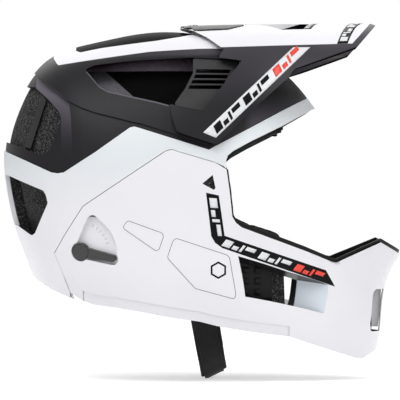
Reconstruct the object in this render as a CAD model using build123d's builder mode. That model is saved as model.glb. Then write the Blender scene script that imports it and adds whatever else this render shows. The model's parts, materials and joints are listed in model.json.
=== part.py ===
from build123d import *
import os
from math import atan2, cos, degrees, hypot, pi, radians, sin

# Convertible full face helmet for downhill riding, as a half shell with a chin bar that comes off.
# Millimetres. X points forward out of the face, Y to the wearer's left, Z up.
# The origin lies between the ears of the wearer, in the helmet's plane of symmetry.

# Overall size, which outline points written as shares follow
helmet_length = 364
helmet_height = 307
helmet_width = 234

# Walls, measured inward from the outer surface
upper_wall = 3.6
lower_wall = 4.4
chin_wall = 2.2
chin_frame_depth = 15
liner_depth = 29
crease_step = 1.4
seam_gap = 0.5
layer_gap = 0.4
rebate_gap = 0.9
rebate_width = 7
liner_margin = 3
tool_overrun = 6
span_overrun = 30
front_panel_recess = 1.2
edge_band_height = 9
edge_band_step = 0.8

# Shell openings and liner
vent_corner = 2
nape_spine = 26
vent_well_depth = 21
nape_well_depth = 14
vent_lip = 3
liner_setback = 1.5
louver_inset = 1.2
louver_depth = 8
louver_frame = 3
rear_bar_inset = 1.5
rear_bar_depth = 4.2
brow_trim_inset = 3.5
brow_trim_depth = 15
brow_trim_height = 3.5

# Visor
visor_wall = 2.4
stud_radius = 5
stud_clearance = 0.3
bush_wall = 3.5
bush_length = 7
bush_drop = 3
arm_gap = 2.6
screw_radius = 2
screw_clearance = 0.1
screw_head_radius = 6.4
screw_head = 2.5
screw_length = 9
scoop_wall = 1.6
scoop_drop = 0.4
scoop_cut = 25
scoop_slope_share = 0.21

# Chin bar
chin_slide_angle = -60
frame_margin = 7
window_lean = 0.62
window_drop = 0.25
window_reach = 60
mouth_width = 62
mouth_corner = 6
mouth_rib = 10
mouth_start_share = 0.45
grille_front_share = 0.555
grille_wall = 2
grille_bar = 2.2
grille_pitch = 7.5
grille_frame = 3
trim_seat = 0.2
trim_height = 3.6
trim_inset = 1.6
trim_depth = 9

# Levers
lever_recess = 5.5
recess_margin = 1.2
lever_boss_radius = 7.4
lever_arm_radius = 4.6
lever_tip_radius = 3.1
lever_boss_height = 4.9
shaft_length = 13
lever_arm_height = 3.8
lever_floor_gap = 0.3
shaft_radius = 3
shaft_clearance = 0.25
cam_radius = 7.5
cam_offset = 1.5
cam_wall = 3.5
post_depth = 20
lever_swing = 75

# Straps and buckle
web_width = 19
web_wall = 1.8
strap_lean = 10
strap_bend = 18
strap_end_gap = 0.9
anchor_radius = 7
anchor_wall = 2.5
anchor_drop = 1
slider_y = 58
slider_wall = 5
slider_width = 24
slider_height = 26
slider_corner = 4
buckle_width = 25
buckle_wall = 7
buckle_corner = 2
sleeve_wall = 4
sleeve_width = 25
sleeve_offset = 3.2

# Fit system and pads
band_wall = 1.6
band_gap = 0.9
dial_radius = 14
dial_height = 8
dial_lobes = 12
lobe_radius = 2.2
dial_gap = 1.2
dial_pocket_gap = 3
cradle_wall = 3
pad_wall = 8
pad_crown = 3
pad_gap = 0.4
pad_sink = 2
brow_pad_span = 55
crown_pad_span = 24
nape_pad_span = 38
side_pad_swell = 1
cheek_pad_wall = 13
cheek_pad_swell = 2
cushion_corner = 6
cheek_foam_inset = 15.5
cheek_foam_depth = 30
chin_foam_depth = 14
dial_angle = 205
cradle_angles = [192, 200, 208, 216]
cradle_span = 42
across_steps = 4

# Centre line of the outer surface, seen from the side: brow, crown, nape, below the rim, chin, face
centre_line_shares = [
    (0.409, 0.309), (0.389, 0.357), (0.329, 0.423), (0.240, 0.485), (0.144, 0.520),
    (0.076, 0.535), (-0.025, 0.526), (-0.121, 0.505), (-0.190, 0.482), (-0.245, 0.457),
    (-0.291, 0.417), (-0.318, 0.366), (-0.342, 0.294), (-0.359, 0.225), (-0.369, 0.165),
    (-0.369, 0.114), (-0.359, 0.051), (-0.346, -0.018), (-0.324, -0.108), (-0.306, -0.158),
    (-0.283, -0.228), (-0.240, -0.312), (-0.164, -0.405), (-0.051, -0.492), (0.076, -0.545),
    (0.227, -0.575), (0.379, -0.575), (0.490, -0.550), (0.550, -0.485), (0.571, -0.410),
    (0.588, -0.313), (0.598, -0.230), (0.606, -0.175), (0.628, -0.138), (0.614, -0.015),
    (0.505, 0.180),
]

# How square the sections of the dome and of the chin are
dome_along_power = 2.3
dome_across_power = 2.3
chin_along_power = 2.0
chin_across_power = 1.75
chin_direction = -20

# Line between the upper and the lower shell, from the back to the brow
shell_line_shares = [
    (-0.440, 0.212), (-0.362, 0.175), (-0.303, 0.145), (-0.237, 0.110), (-0.221, 0.107),
    (-0.205, 0.110), (-0.127, 0.169), (-0.044, 0.239), (-0.034, 0.242), (-0.019, 0.237),
    (0.126, 0.183), (0.148, 0.175), (0.165, 0.186), (0.249, 0.239), (0.331, 0.292),
    (0.420, 0.348),
]
# Lower edge of the brow, from its tip to the chin bar's corner
brow_edge_shares = [
    (0.430, 0.310), (0.408, 0.300), (0.396, 0.290), (0.331, 0.247), (0.248, 0.198),
    (0.207, 0.171), (0.194, 0.158), (0.190, 0.144), (0.190, 0.127),
]
# Seam between the chin bar and the lower shell, from the eye port to the nape
seam_shares = [
    (0.165, 0.137), (0.078, 0.167), (0.058, 0.175), (0.043, 0.170), (-0.158, 0.011),
    (-0.203, -0.071), (-0.230, -0.125), (-0.212, -0.177), (-0.192, -0.240),
]
# Rest of the area that the chin bar covers on the lower shell, from the nape round to the port
under_chin_shares = [(-0.192, -0.600), (0.192, -0.600), (0.192, 0.122)]
# Rim of the lower shell round the neck
nape_edge_shares = [(-0.240, -0.232), (-0.290, -0.197), (-0.330, -0.150), (-0.420, -0.110)]

# Edge of the eye port on the chin bar, from the temple to the tip
port_edge_shares = [
    (0.191, 0.118), (0.198, 0.060), (0.205, -0.018), (0.214, -0.036), (0.228, -0.049),
    (0.396, -0.123), (0.452, -0.151), (0.462, -0.153), (0.576, -0.095), (0.645, -0.141),
]
# Front of the chin bar from the tip down, then its lower edge back to the nape
chin_front_shares = [
    (0.645, -0.150), (0.640, -0.200), (0.600, -0.405), (0.570, -0.417), (0.533, -0.440),
    (0.514, -0.437), (0.434, -0.404),
]
chin_edge_shares = [
    (0.345, -0.367), (0.249, -0.352), (0.168, -0.335), (0.126, -0.322), (0.043, -0.307),
    (-0.019, -0.293), (-0.082, -0.281), (-0.134, -0.273), (-0.160, -0.263),
]

# Crease of the upper shell, above the shell line, closed below by the shell's edge
crease_shares = [
    (-0.420, 0.480), (-0.289, 0.407), (-0.246, 0.360), (-0.200, 0.319), (-0.165, 0.298),
    (-0.130, 0.283), (-0.034, 0.254), (-0.019, 0.251), (0.126, 0.197), (0.148, 0.189),
    (0.148, 0), (-0.420, 0),
]

# Openings of the shells
side_vent_shares = [
    (-0.157, 0.411), (-0.132, 0.424), (-0.037, 0.437), (0.106, 0.446), (0.225, 0.441),
    (0.180, 0.334), (0.139, 0.284), (0.052, 0.304), (0.017, 0.315), (-0.036, 0.329),
    (-0.098, 0.346), (-0.121, 0.361), (-0.144, 0.394),
]
rear_vent_shares = [
    (-0.420, 0.395), (-0.283, 0.361), (-0.245, 0.320), (-0.221, 0.288), (-0.215, 0.271),
    (-0.217, 0.251), (-0.232, 0.200), (-0.243, 0.172), (-0.257, 0.160), (-0.271, 0.164),
    (-0.420, 0.228),
]
nape_vent_shares = [
    (-0.400, 0.120), (-0.348, 0.101), (-0.257, 0.057), (-0.251, 0.045), (-0.246, 0.021),
    (-0.280, -0.067), (-0.289, -0.074), (-0.326, -0.046), (-0.400, -0.020),
]
window_bevel_shares = [
    (0.219, -0.132), (0.336, -0.176), (0.459, -0.225), (0.489, -0.325), (0.445, -0.306),
    (0.347, -0.276), (0.237, -0.249),
]
temple_vent_shares = [(0.157, 0.102), (0.164, 0.065), (0.160, 0.059), (0.132, 0.077)]
front_panel_shares = [
    (0.640, -0.140), (0.628, -0.146), (0.535, -0.213), (0.545, -0.290), (0.553, -0.350),
    (0.545, -0.400), (0.540, -0.480), (0.640, -0.480),
]

# Louvered insert in the side vents, and its slots
louver_shares = [
    (0.108, 0.446), (0.225, 0.441), (0.180, 0.334), (0.139, 0.284), (0.060, 0.304),
    (0.088, 0.352), (0.108, 0.400),
]
louver_slot_shares = [0.352, 0.368, 0.384, 0.400]
louver_open_share = 0.011
louver_reach_shares = (-0.100, 0.300)
rear_bar_shares = [(-0.265, 0.338), (-0.252, 0.322), (-0.290, 0.180), (-0.307, 0.186)]

# Visor stations from rear to front: place, top height, then crease, middle and low points
visor_station_shares = [
    (0.030, 0.544, (0.46, 0.474), (0.885, 0.339), (1.005, 0.176)),
    (0.137, 0.551, (0.50, 0.476), (0.855, 0.342), (0.985, 0.176)),
    (0.234, 0.554, (0.54, 0.477), (0.775, 0.360), (0.885, 0.215)),
    (0.330, 0.556, (0.58, 0.479), (0.715, 0.404), (0.810, 0.313)),
    (0.426, 0.557, (0.605, 0.480), (0.700, 0.446), (0.800, 0.358)),
    (0.522, 0.558, (0.620, 0.481), (0.695, 0.453), (0.780, 0.397)),
    (0.590, 0.558, (0.625, 0.482), (0.690, 0.458), (0.770, 0.410)),
]
visor_outline_shares = [
    (0.077, 0.541), (0.110, 0.531), (0.144, 0.509), (0.185, 0.472), (0.173, 0.446),
    (0.229, 0.437), (0.137, 0.292), (0.126, 0.287), (0.053, 0.307), (0.058, 0.270),
    (0.069, 0.229), (0.078, 0.223), (0.126, 0.204), (0.164, 0.190), (0.183, 0.207),
    (0.248, 0.284), (0.346, 0.388), (0.358, 0.408), (0.391, 0.420), (0.508, 0.469),
    (0.565, 0.547), (0.5525, 0.557), (0.550, 0.620), (0.077, 0.620),
]
visor_pivot_shares = (0.102, 0.266)
scoop_shares = [(0.240, 0), (0.330, 0.33), (0.385, 0.33), (0.410, 0)]

# Straps: anchors, slider and the path of the loop, from its top on the right, in width and drop
front_anchor_shares = (0.137, 0.215)
rear_anchor_shares = (-0.170, 0.081)
slider_shares = (0.112, -0.147)
strap_top_shares = (0.112, -0.147)
loop_shares = [(-0.500, -0.050), (-0.460, -0.150), (-0.350, -0.285), (-0.120, -0.350)]
buckle_shares = [(0.455, -0.170), (0.350, -0.272), (0.320, -0.302)]
catch_share = 0.333

# Pads and bands inside, with the levels of a cushion in shares of its wall and in swells
cushion_level_shares = [(0, 0), (0.45, 1), (0.8, -1), (1, -5)]
middle_pads = {
    "brow_pad": ([34, 40, 46, 52], brow_pad_span),
    "crown_pad": ([72, 86, 100, 114], crown_pad_span),
    "nape_pad": ([163, 169, 175, 181], nape_pad_span),
}
side_pad_shares = [(-0.110, 0.205), (0.080, 0.225), (0.080, 0.320), (-0.105, 0.320)]
side_pad_corners = [(-0.110, 0.205), (0.080, 0.225), (0.0, 0.320)]
fit_band_shares = [(-0.300, -0.100), (0.112, 0.154), (0.112, 0.192), (-0.300, -0.055)]

# Chin bar: lever, foam, pads and mouth
lever_boss_shares = (-0.166, -0.120)
lever_tip_shares = (-0.088, -0.140)
lever_top_shares = (-0.136, -0.033)
lever_pad_shares = [
    (-0.188, -0.101), (-0.143, -0.018), (-0.098, -0.018), (-0.068, -0.098), (-0.070, -0.170),
    (-0.120, -0.205), (-0.181, -0.205),
]
latch_post_shares = [(-0.226, -0.100), (-0.193, -0.100), (-0.193, -0.150), (-0.226, -0.150)]
chin_foam_shares = [
    (0.520, -0.135), (0.575, -0.112), (0.606, -0.140), (0.585, -0.200), (0.562, -0.400),
    (0.525, -0.418), (0.345, -0.352), (0.165, -0.320), (0.165, -0.265), (0.440, -0.335),
    (0.505, -0.345),
]
ear_foam_shares = [
    (-0.045, 0.060), (0.100, 0.110), (0.172, 0.110), (0.178, 0.060), (0.182, -0.030),
    (0.200, -0.250), (0.110, -0.300), (-0.040, -0.270), (-0.048, -0.120),
]
ear_hole_shares = (0.020, -0.030)
ear_hole_radius = 30
cheek_foam_shares = [
    (0.090, -0.030), (0.205, -0.045), (0.225, -0.062), (0.330, -0.112), (0.335, -0.275),
    (0.200, -0.310), (0.100, -0.290),
]
cheek_pad_shares = [
    (0.070, 0.010), (0.190, -0.010), (0.235, -0.040), (0.325, -0.075), (0.330, -0.260),
    (0.200, -0.300), (0.080, -0.260),
]
cheek_pad_corners = [(0.100, -0.250), (0.325, -0.245), (0.190, -0.010)]
mouth_shares = (-0.360, -0.235)


# Poles of the fans of sections that make the shells, each where no shell is seen
dome_pole_shares = (-0.055, -0.072)
dome_pole_radius = 26
dome_fan = [6 + 15.5 * step for step in range(17)]
face_pole_shares = (0.343, -0.013)
face_pole_radius = 10
face_fan = [128 + 13.2 * step for step in range(18)]
section_points = 9
section_marks = [step / (2 * section_points) for step in range(2 * section_points + 1)]

# Names used by several pieces
half_width = helmet_width / 2


def place(share):
    """Side view point from its shares of the helmet's length and height."""
    return share[0] * helmet_length, share[1] * helmet_height


def places(shares):
    return [place(share) for share in shares]


centre_line = sorted((atan2(z, x), hypot(x, z)) for x, z in places(centre_line_shares))


def centre_radius(angle):
    """Distance from the origin to the outer centre line, as a smooth curve through its points."""
    count = len(centre_line)
    turn = (angle - centre_line[0][0]) % (2 * pi) + centre_line[0][0]
    after = next((i for i in range(count) if centre_line[i][0] > turn), count)

    def knot(index):
        turns, slot = divmod(index, count)
        return centre_line[slot][0] + 2 * pi * turns, centre_line[slot][1]

    (a0, r0), (a1, r1), (a2, r2), (a3, r3) = (knot(after + step) for step in (-2, -1, 0, 1))
    step = a2 - a1
    t = (turn - a1) / step
    slope_in = (r2 - r0) / (a2 - a0) * step
    slope_out = (r3 - r1) / (a3 - a1) * step
    ends = (2 * t**3 - 3 * t**2 + 1) * r1 + (3 * t**2 - 2 * t**3) * r2
    return ends + (t**3 - 2 * t**2 + t) * slope_in + (t**3 - t**2) * slope_out


def powers(angle):
    """How square the section is along a ray from the origin and across it."""
    chin = max(0, cos(angle - radians(chin_direction))) ** 2
    along = dome_along_power + (chin_along_power - dome_along_power) * chin
    across = dome_across_power + (chin_across_power - dome_across_power) * chin
    return along, across


def surface_y(x, z, inset):
    """Half width of the helmet at a side view point, at an inset from the outer surface."""
    angle = atan2(z, x)
    along, across = powers(angle)
    ratio = hypot(x, z) / (centre_radius(angle) - inset)
    if ratio >= 1:
        return 0
    return (half_width - inset) * (1 - ratio**along) ** (1 / across)


def surface_reach(x, z, angle, inset):
    """Distance along a ray from a side view point to the centre line at an inset."""
    near, far = 0, 2 * helmet_length
    for _ in range(48):
        middle = (near + far) / 2
        px, pz = x + middle * cos(angle), z + middle * sin(angle)
        if hypot(px, pz) < centre_radius(atan2(pz, px)) - inset:
            near = middle
        else:
            far = middle
    return near


def ray_curve(pole, angle, start, inset):
    """Half of a section along a ray, from its start at the side to the centre line."""
    reach = surface_reach(*pole, angle, inset)
    curve = []
    for step in range(section_points):
        r = start + (reach - start) * sin(pi / 2 * step / section_points)
        y = surface_y(pole[0] + r * cos(angle), pole[1] + r * sin(angle), inset)
        curve.append((r, y))
    return curve + [(reach, 0)] + [(r, -y) for r, y in reversed(curve)]


def fan_wall(pole, start, fan, outer_inset, inner_inset):
    """Wall between two insets of the outer surface, lofted through a fan of sections."""
    with BuildPart() as wall:
        for degree in fan:
            angle = radians(degree)
            outer = ray_curve(pole, angle, start, outer_inset)
            inner = ray_curve(pole, angle, start, inner_inset)
            ray = Plane(
                origin=(pole[0], 0, pole[1]),
                x_dir=(cos(angle), 0, sin(angle)),
                z_dir=(-sin(angle), 0, cos(angle)),
            )
            with BuildSketch(ray):
                with BuildLine():
                    add(Edge.make_spline(outer, parameters=section_marks))
                    Line(outer[-1], inner[-1])
                    add(Edge.make_spline(inner[::-1], parameters=section_marks))
                    Line(inner[0], outer[0])
                make_face()
        loft()
    return wall.part


def dome_wall(outer_inset, inner_inset):
    return fan_wall(place(dome_pole_shares), dome_pole_radius, dome_fan, outer_inset, inner_inset)


def face_wall(outer_inset, inner_inset):
    return fan_wall(place(face_pole_shares), face_pole_radius, face_fan, outer_inset, inner_inset)


def side_prism(points, radius=0, grow=0, inner_y=0):
    """Prism across the helmet over a side view outline, on both sides of a middle strip."""
    with BuildPart() as prism:
        for side in (1, -1):
            with BuildSketch(Plane.XZ.offset(side * inner_y)) as outline:
                with BuildLine():
                    Polyline(*points, close=True)
                make_face()
                if grow:
                    offset(amount=grow, kind=Kind.INTERSECTION, mode=Mode.REPLACE)
                if radius:
                    fillet(outline.vertices(), radius=radius)
            extrude(amount=side * (half_width + span_overrun))
    return prism.part


def across_band(angles, inset, thickness, half_span, crown=0):
    """Curved band across the plane of symmetry, lofted through rays from the ears."""
    with BuildPart() as band:
        for index, degree in enumerate(angles):
            angle = radians(degree)
            swell = crown * sin(pi * index / (len(angles) - 1))
            outer = across_curve(angle, inset, half_span, 0)
            inner = across_curve(angle, inset + thickness, half_span, swell)
            ray = Plane(
                origin=(0, 0, 0),
                x_dir=(cos(angle), 0, sin(angle)),
                z_dir=(-sin(angle), 0, cos(angle)),
            )
            with BuildSketch(ray):
                with BuildLine():
                    Spline(*outer)
                    Line(outer[-1], inner[-1])
                    Spline(*reversed(inner))
                    Line(inner[0], outer[0])
                make_face()
        loft()
    return band


def across_curve(angle, inset, half_span, rise):
    """Section of the surface across the plane of symmetry, swelling inward by rise."""
    along, across = powers(angle)
    curve = []
    for step in range(-across_steps, across_steps + 1):
        y = half_span * step / across_steps
        edge = 1 - (abs(y) / (half_width - inset)) ** across
        radius = (centre_radius(angle) - inset) * edge ** (1 / along)
        curve.append((radius - rise * cos(pi / 2 * step / across_steps), y))
    return curve


def trimmed(wall, keep, cuts=()):
    """Part of a wall inside a prism, less some cuts."""
    with BuildPart() as piece:
        add(wall)
        add(keep, mode=Mode.INTERSECT)
        for cut in cuts:
            add(cut, mode=Mode.SUBTRACT)
    return piece


def left_half(piece):
    with BuildPart() as half:
        add(piece.part)
        split(bisect_by=Plane.XZ, keep=Keep.BOTTOM)
    return half


def right_half(piece):
    with BuildPart() as half:
        add(piece.part)
        split(bisect_by=Plane.XZ, keep=Keep.TOP)
    return half


def mirrored(piece):
    with BuildPart() as other:
        mirror(piece.part, about=Plane.XZ)
    return other


def shifted(points, dx, dz):
    return [(x + dx, z + dz) for x, z in points]


def side_bores(point, radius, inner_y, length=half_width + span_overrun):
    """Bores along Y at a side view point, from a distance off the plane of symmetry outward."""
    with BuildPart() as bores:
        for side in (1, -1):
            with BuildSketch(Plane.XZ.offset(side * inner_y)):
                with Locations(point):
                    Circle(radius)
            extrude(amount=side * length)
    return bores.part


# Outlines that several pieces share
slide = (cos(radians(chin_slide_angle)), sin(radians(chin_slide_angle)))
sky = [(helmet_length, helmet_height), (-helmet_length, helmet_height)]
shell_line = places(shell_line_shares)
brow_edge = places(brow_edge_shares)
seam = places(seam_shares)
nape_edge = places(nape_edge_shares)
port_edge = places(port_edge_shares)
chin_front = places(chin_front_shares)
chin_edge = places(chin_edge_shares)
chin_outline = seam + chin_edge[::-1] + chin_front[::-1] + port_edge[::-1]
flange_edge = shifted(seam, rebate_width * slide[0], rebate_width * slide[1])
seam_clear = shifted(seam, -seam_gap * slide[0], -seam_gap * slide[1])
window_bevel = places(window_bevel_shares)
visor_pivot = place(visor_pivot_shares)
side_vent = places(side_vent_shares)
nape_vent = places(nape_vent_shares)
front_panel = places(front_panel_shares)
lever_pad = places(lever_pad_shares)
lean_angle = radians(strap_lean)
strap_plane = Plane(
    origin=(strap_top_shares[0] * helmet_length, 0, strap_top_shares[1] * helmet_height),
    x_dir=(0, 1, 0),
    z_dir=(cos(lean_angle), 0, sin(lean_angle)),
)
visor_top = visor_station_shares[-1][1] * helmet_height
scoop_side = [(x * helmet_length, y * half_width) for x, y in scoop_shares]
scoop_opening = scoop_side + [(x, -y) for x, y in scoop_side[-2:0:-1]]
mouth_low, mouth_high = (share * helmet_height for share in mouth_shares)
base = (Align.CENTER, Align.CENTER, Align.MIN)

# Visor pivot, from the plane of symmetry outward
pivot_y = surface_y(*visor_pivot, 0)
bush_inner = pivot_y - upper_wall - bush_drop - bush_length
stud_outer = pivot_y + arm_gap + visor_wall / 2


def make_upper_shell():
    """Upper shell with its side and rear vents and the crease above the shell line."""
    outline = shifted(shell_line, 0, seam_gap) + sky
    step = trimmed(dome_wall(-tool_overrun, crease_step), side_prism(places(crease_shares)))
    bores = side_bores(visor_pivot, stud_radius + stud_clearance, 0)
    cuts = [side_prism(side_vent, vent_corner), side_prism(places(rear_vent_shares))]
    return trimmed(dome_wall(0, upper_wall), side_prism(outline), cuts + [step.part, bores])


def make_lower_shell():
    """Lower shell: brow band, sides and nape, with a recessed flange behind the chin bar."""
    outline = shell_line + brow_edge + flange_edge + nape_edge
    under_chin = seam_clear + places(under_chin_shares)
    rebate = trimmed(dome_wall(-tool_overrun, chin_wall + rebate_gap), side_prism(under_chin))
    vents = side_prism(nape_vent, vent_corner, inner_y=nape_spine / 2)
    return trimmed(dome_wall(0, lower_wall), side_prism(outline), [rebate.part, vents])


def make_main_liner():
    """Foam liner of the half shell, open at the vents."""
    setback = shifted(seam, -liner_setback * slide[0], -liner_setback * slide[1])
    outline = brow_edge + setback + nape_edge + sky[::-1]
    vent_edge = side_prism(side_vent, grow=vent_lip)
    vent_well = trimmed(dome_wall(-tool_overrun, vent_well_depth), vent_edge)
    nape_area = side_prism(nape_vent, vent_corner, inner_y=nape_spine / 2)
    nape_well = trimmed(dome_wall(-tool_overrun, nape_well_depth), nape_area)
    bush_seat = bush_inner - screw_head - layer_gap
    bush_bores = side_bores(visor_pivot, stud_radius + bush_wall + layer_gap, bush_seat)
    cuts = [vent_well.part, nape_well.part, bush_bores]
    with BuildPart() as dial_pocket:
        with BuildSketch(fit_plane(-cradle_wall)):
            Circle(dial_radius + dial_pocket_gap)
        extrude(amount=2 * liner_depth)
    cuts.append(dial_pocket.part)
    for share in (front_anchor_shares, rear_anchor_shares):
        pocket_radius = anchor_radius + layer_gap
        start = anchor_seat(share) - anchor_radius
        cuts.append(side_bores(place(share), pocket_radius, start, pocket_radius))
    keep = side_prism(outline, grow=-liner_margin)
    return trimmed(dome_wall(lower_wall + layer_gap, liner_depth), keep, cuts)


def make_vent_louver():
    """Insert in the front end of a side vent, with slots between its ribs, on both sides."""
    panel = side_prism(places(louver_shares), vent_corner, -layer_gap)
    insert = trimmed(dome_wall(louver_inset, louver_depth), panel)
    with BuildPart() as openings:
        for low in louver_slot_shares:
            high = low + louver_open_share
            back, front = louver_reach_shares
            slot_shares = [(back, low), (front, low), (front, high), (back, high)]
            add(side_prism(places(slot_shares)))
        add(side_prism(places(louver_shares), grow=-louver_frame), mode=Mode.INTERSECT)
    with BuildPart() as louver:
        add(insert.part)
        add(openings.part, mode=Mode.SUBTRACT)
    return louver


def make_fit_bands():
    """Bands of the fit system along the inside of the liner, on both sides."""
    wall = dome_wall(liner_depth + band_gap, liner_depth + band_gap + band_wall)
    return trimmed(wall, side_prism(places(fit_band_shares), inner_y=cradle_span))


def make_rear_bar():
    """Bars across the rear vent, one on each side."""
    return trimmed(dome_wall(rear_bar_inset, rear_bar_depth), side_prism(places(rear_bar_shares)))


def make_brow_trim():
    """Dark edges under the sides of the brow band."""
    edge = brow_edge[3:7]
    outline = shifted(edge, 0, -layer_gap) + shifted(edge, 0, -brow_trim_height)[::-1]
    return trimmed(dome_wall(brow_trim_inset, brow_trim_depth), side_prism(outline))


def station_points(station, wall):
    """Crease, middle and low points of a visor section, a wall inside its outer face."""
    crease, middle, low = [
        (share_y * half_width - wall, share_z * helmet_height) for share_y, share_z in station[2:]
    ]
    return (crease[0], crease[1] - wall), middle, low


def make_visor():
    """Visor shell: an arched roof with creased sides that run down to its pivot studs."""
    with BuildPart() as visor:
        for station in visor_station_shares:
            with BuildSketch(Plane.YZ.offset(station[0] * helmet_length)):
                with BuildLine():
                    for wall in (0, visor_wall):
                        crease, middle, low = station_points(station, wall)
                        ridge = (0, station[1] * helmet_height - wall)
                        Spline(*[(-y, z) for y, z in (low, middle, crease)])
                        ThreePointArc((-crease[0], crease[1]), ridge, crease)
                        Spline(crease, middle, low)
                    for side in (1, -1):
                        y, z = station_points(station, 0)[2]
                        Line((side * y, z), (side * (y - visor_wall), z))
                make_face()
        loft()
        add(side_prism(places(visor_outline_shares)), mode=Mode.INTERSECT)
        with BuildSketch(Plane.XY.offset(visor_top)):
            with BuildLine():
                Polyline(*scoop_opening, close=True)
            make_face()
        extrude(amount=scoop_cut, both=True, mode=Mode.SUBTRACT)
        for side in (1, -1):
            with BuildSketch(Plane.XZ.offset(side * bush_inner)):
                with Locations(visor_pivot):
                    Circle(stud_radius)
            extrude(amount=side * (stud_outer - bush_inner))
            with BuildSketch(Plane.XZ.offset(side * bush_inner)):
                with Locations(visor_pivot):
                    Circle(screw_radius + screw_clearance)
            extrude(amount=side * screw_length, mode=Mode.SUBTRACT)
    return visor


def make_visor_scoop():
    """Ridged insert in the opening of the visor's roof."""
    back, front = scoop_opening[0][0], scoop_side[-1][0]
    half = scoop_side[1][1]
    top = visor_top - scoop_drop
    eave = top - half * scoop_slope_share
    with BuildPart() as scoop:
        with BuildSketch(Plane.YZ.offset(back)):
            with BuildLine():
                Polyline(
                    (-half, eave),
                    (0, top),
                    (half, eave),
                    (half, eave - scoop_wall),
                    (0, top - scoop_wall),
                    (-half, eave - scoop_wall),
                    close=True,
                )
            make_face()
        extrude(amount=front - back)
        with BuildSketch():
            with BuildLine():
                Polyline(*scoop_opening, close=True)
            make_face()
        extrude(amount=helmet_height, mode=Mode.INTERSECT)
    return scoop


def make_visor_bush():
    """Bush in the left side of the liner, in which the visor's stud turns."""
    with BuildPart() as bush:
        with BuildSketch(Plane.XZ.offset(-bush_inner)):
            with Locations(visor_pivot):
                Circle(stud_radius + bush_wall)
                Circle(stud_radius + stud_clearance, mode=Mode.SUBTRACT)
        extrude(amount=-bush_length)
    return bush


def make_visor_screw():
    """Screw that holds the left stud in its bush."""
    with BuildPart() as screw:
        with BuildSketch(Plane.XZ.offset(-bush_inner)):
            with Locations(visor_pivot):
                Circle(screw_head_radius)
        extrude(amount=screw_head)
        with BuildSketch(Plane.XZ.offset(-bush_inner)):
            with Locations(visor_pivot):
                Circle(screw_radius)
        extrude(amount=-(screw_length - screw_clearance))
    return screw


def surface_point(share, inset=0):
    """Point on the right side of the outer surface over a side view share."""
    x, z = place(share)
    return Vector(x, -surface_y(x, z, inset), z)


def slanted_cut(points, lean_x, lean_z):
    """Cut through a wall over an outline on its outer surface, leaning back as it goes inward."""
    outer = half_width + tool_overrun
    start = []
    for x, z in points:
        out = outer - surface_y(x, z, 0)
        start.append((x + lean_x * out, z + lean_z * out))
    with BuildPart() as cut:
        with BuildSketch(Plane.XZ.offset(outer)):
            with BuildLine():
                Polyline(*start, close=True)
            make_face()
        extrude(amount=window_reach, dir=(-lean_x, 1, -lean_z))
        mirror(about=Plane.XZ)
    return cut.part


def make_chin_bar():
    """Chin bar shell with framed windows, lever recesses and a panel round the mouth."""
    hollow = trimmed(
        face_wall(chin_wall, chin_frame_depth + tool_overrun),
        side_prism(chin_outline, grow=tool_overrun),
        [side_prism(window_bevel, grow=frame_margin), side_prism(lever_pad)],
    )
    panel = trimmed(face_wall(-tool_overrun, front_panel_recess), side_prism(front_panel))
    band_top = shifted(chin_edge, 0, edge_band_height)
    band_low = shifted(chin_edge, 0, -tool_overrun)
    band_area = side_prism(band_top + band_low[::-1])
    band = trimmed(face_wall(-tool_overrun, edge_band_step), band_area)
    with BuildPart() as bar:
        add(face_wall(0, chin_frame_depth))
        add(side_prism(chin_outline), mode=Mode.INTERSECT)
        add(hollow.part, mode=Mode.SUBTRACT)
        add(panel.part, mode=Mode.SUBTRACT)
        add(band.part, mode=Mode.SUBTRACT)
        add(slanted_cut(window_bevel, window_lean, window_drop), mode=Mode.SUBTRACT)
        add(side_prism(places(temple_vent_shares)), mode=Mode.SUBTRACT)
        add(lever_recess_cut(), mode=Mode.SUBTRACT)
        add(mouth_cut(mouth_rib), mode=Mode.SUBTRACT)
    return bar


def mouth_cut(rib=0):
    """Opening in front of the mouth, cut forward through the chin, less a rib in the middle."""
    height = mouth_high - mouth_low
    with BuildPart() as cut:
        with BuildSketch(Plane.YZ.offset(mouth_start_share * helmet_length)):
            with Locations((0, (mouth_low + mouth_high) / 2)):
                RectangleRounded(mouth_width, height, mouth_corner)
                if rib:
                    Rectangle(rib, height, mode=Mode.SUBTRACT)
        extrude(amount=helmet_length)
    return cut.part


def lever_plane():
    """Floor of the right lever's recess: x along the lever, z out of the helmet."""
    boss = surface_point(lever_boss_shares)
    tip = surface_point(lever_tip_shares)
    top = surface_point(lever_top_shares)
    normal = (tip - boss).cross(top - boss)
    outward = normal if normal.Y < 0 else -normal
    face = Plane(origin=boss, x_dir=tip - boss, z_dir=outward)
    return face.offset(-lever_recess)


def lever_length():
    return (surface_point(lever_tip_shares) - surface_point(lever_boss_shares)).length


def lever_recess_cut():
    """Recesses for the levers: a round seat and the sector that the lever swings through."""
    floor = lever_plane()
    reach = lever_length() + lever_tip_radius + recess_margin
    with BuildPart() as cut:
        with BuildSketch(floor):
            Circle(lever_boss_radius + recess_margin)
            with BuildLine():
                sweep_arc = CenterArc((0, 0), reach, 0, lever_swing)
                Line(sweep_arc @ 1, (0, 0))
                Line((0, 0), sweep_arc @ 0)
            make_face()
            for turn in (0, lever_swing):
                with PolarLocations(lever_length() / 2, 1, start_angle=turn):
                    SlotCenterToCenter(lever_length(), 2 * (lever_arm_radius + recess_margin))
        extrude(amount=lever_recess + tool_overrun)
        with BuildSketch(floor):
            Circle(shaft_radius + shaft_clearance)
        extrude(amount=-chin_frame_depth)
        mirror(about=Plane.XZ)
    return cut.part


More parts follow.
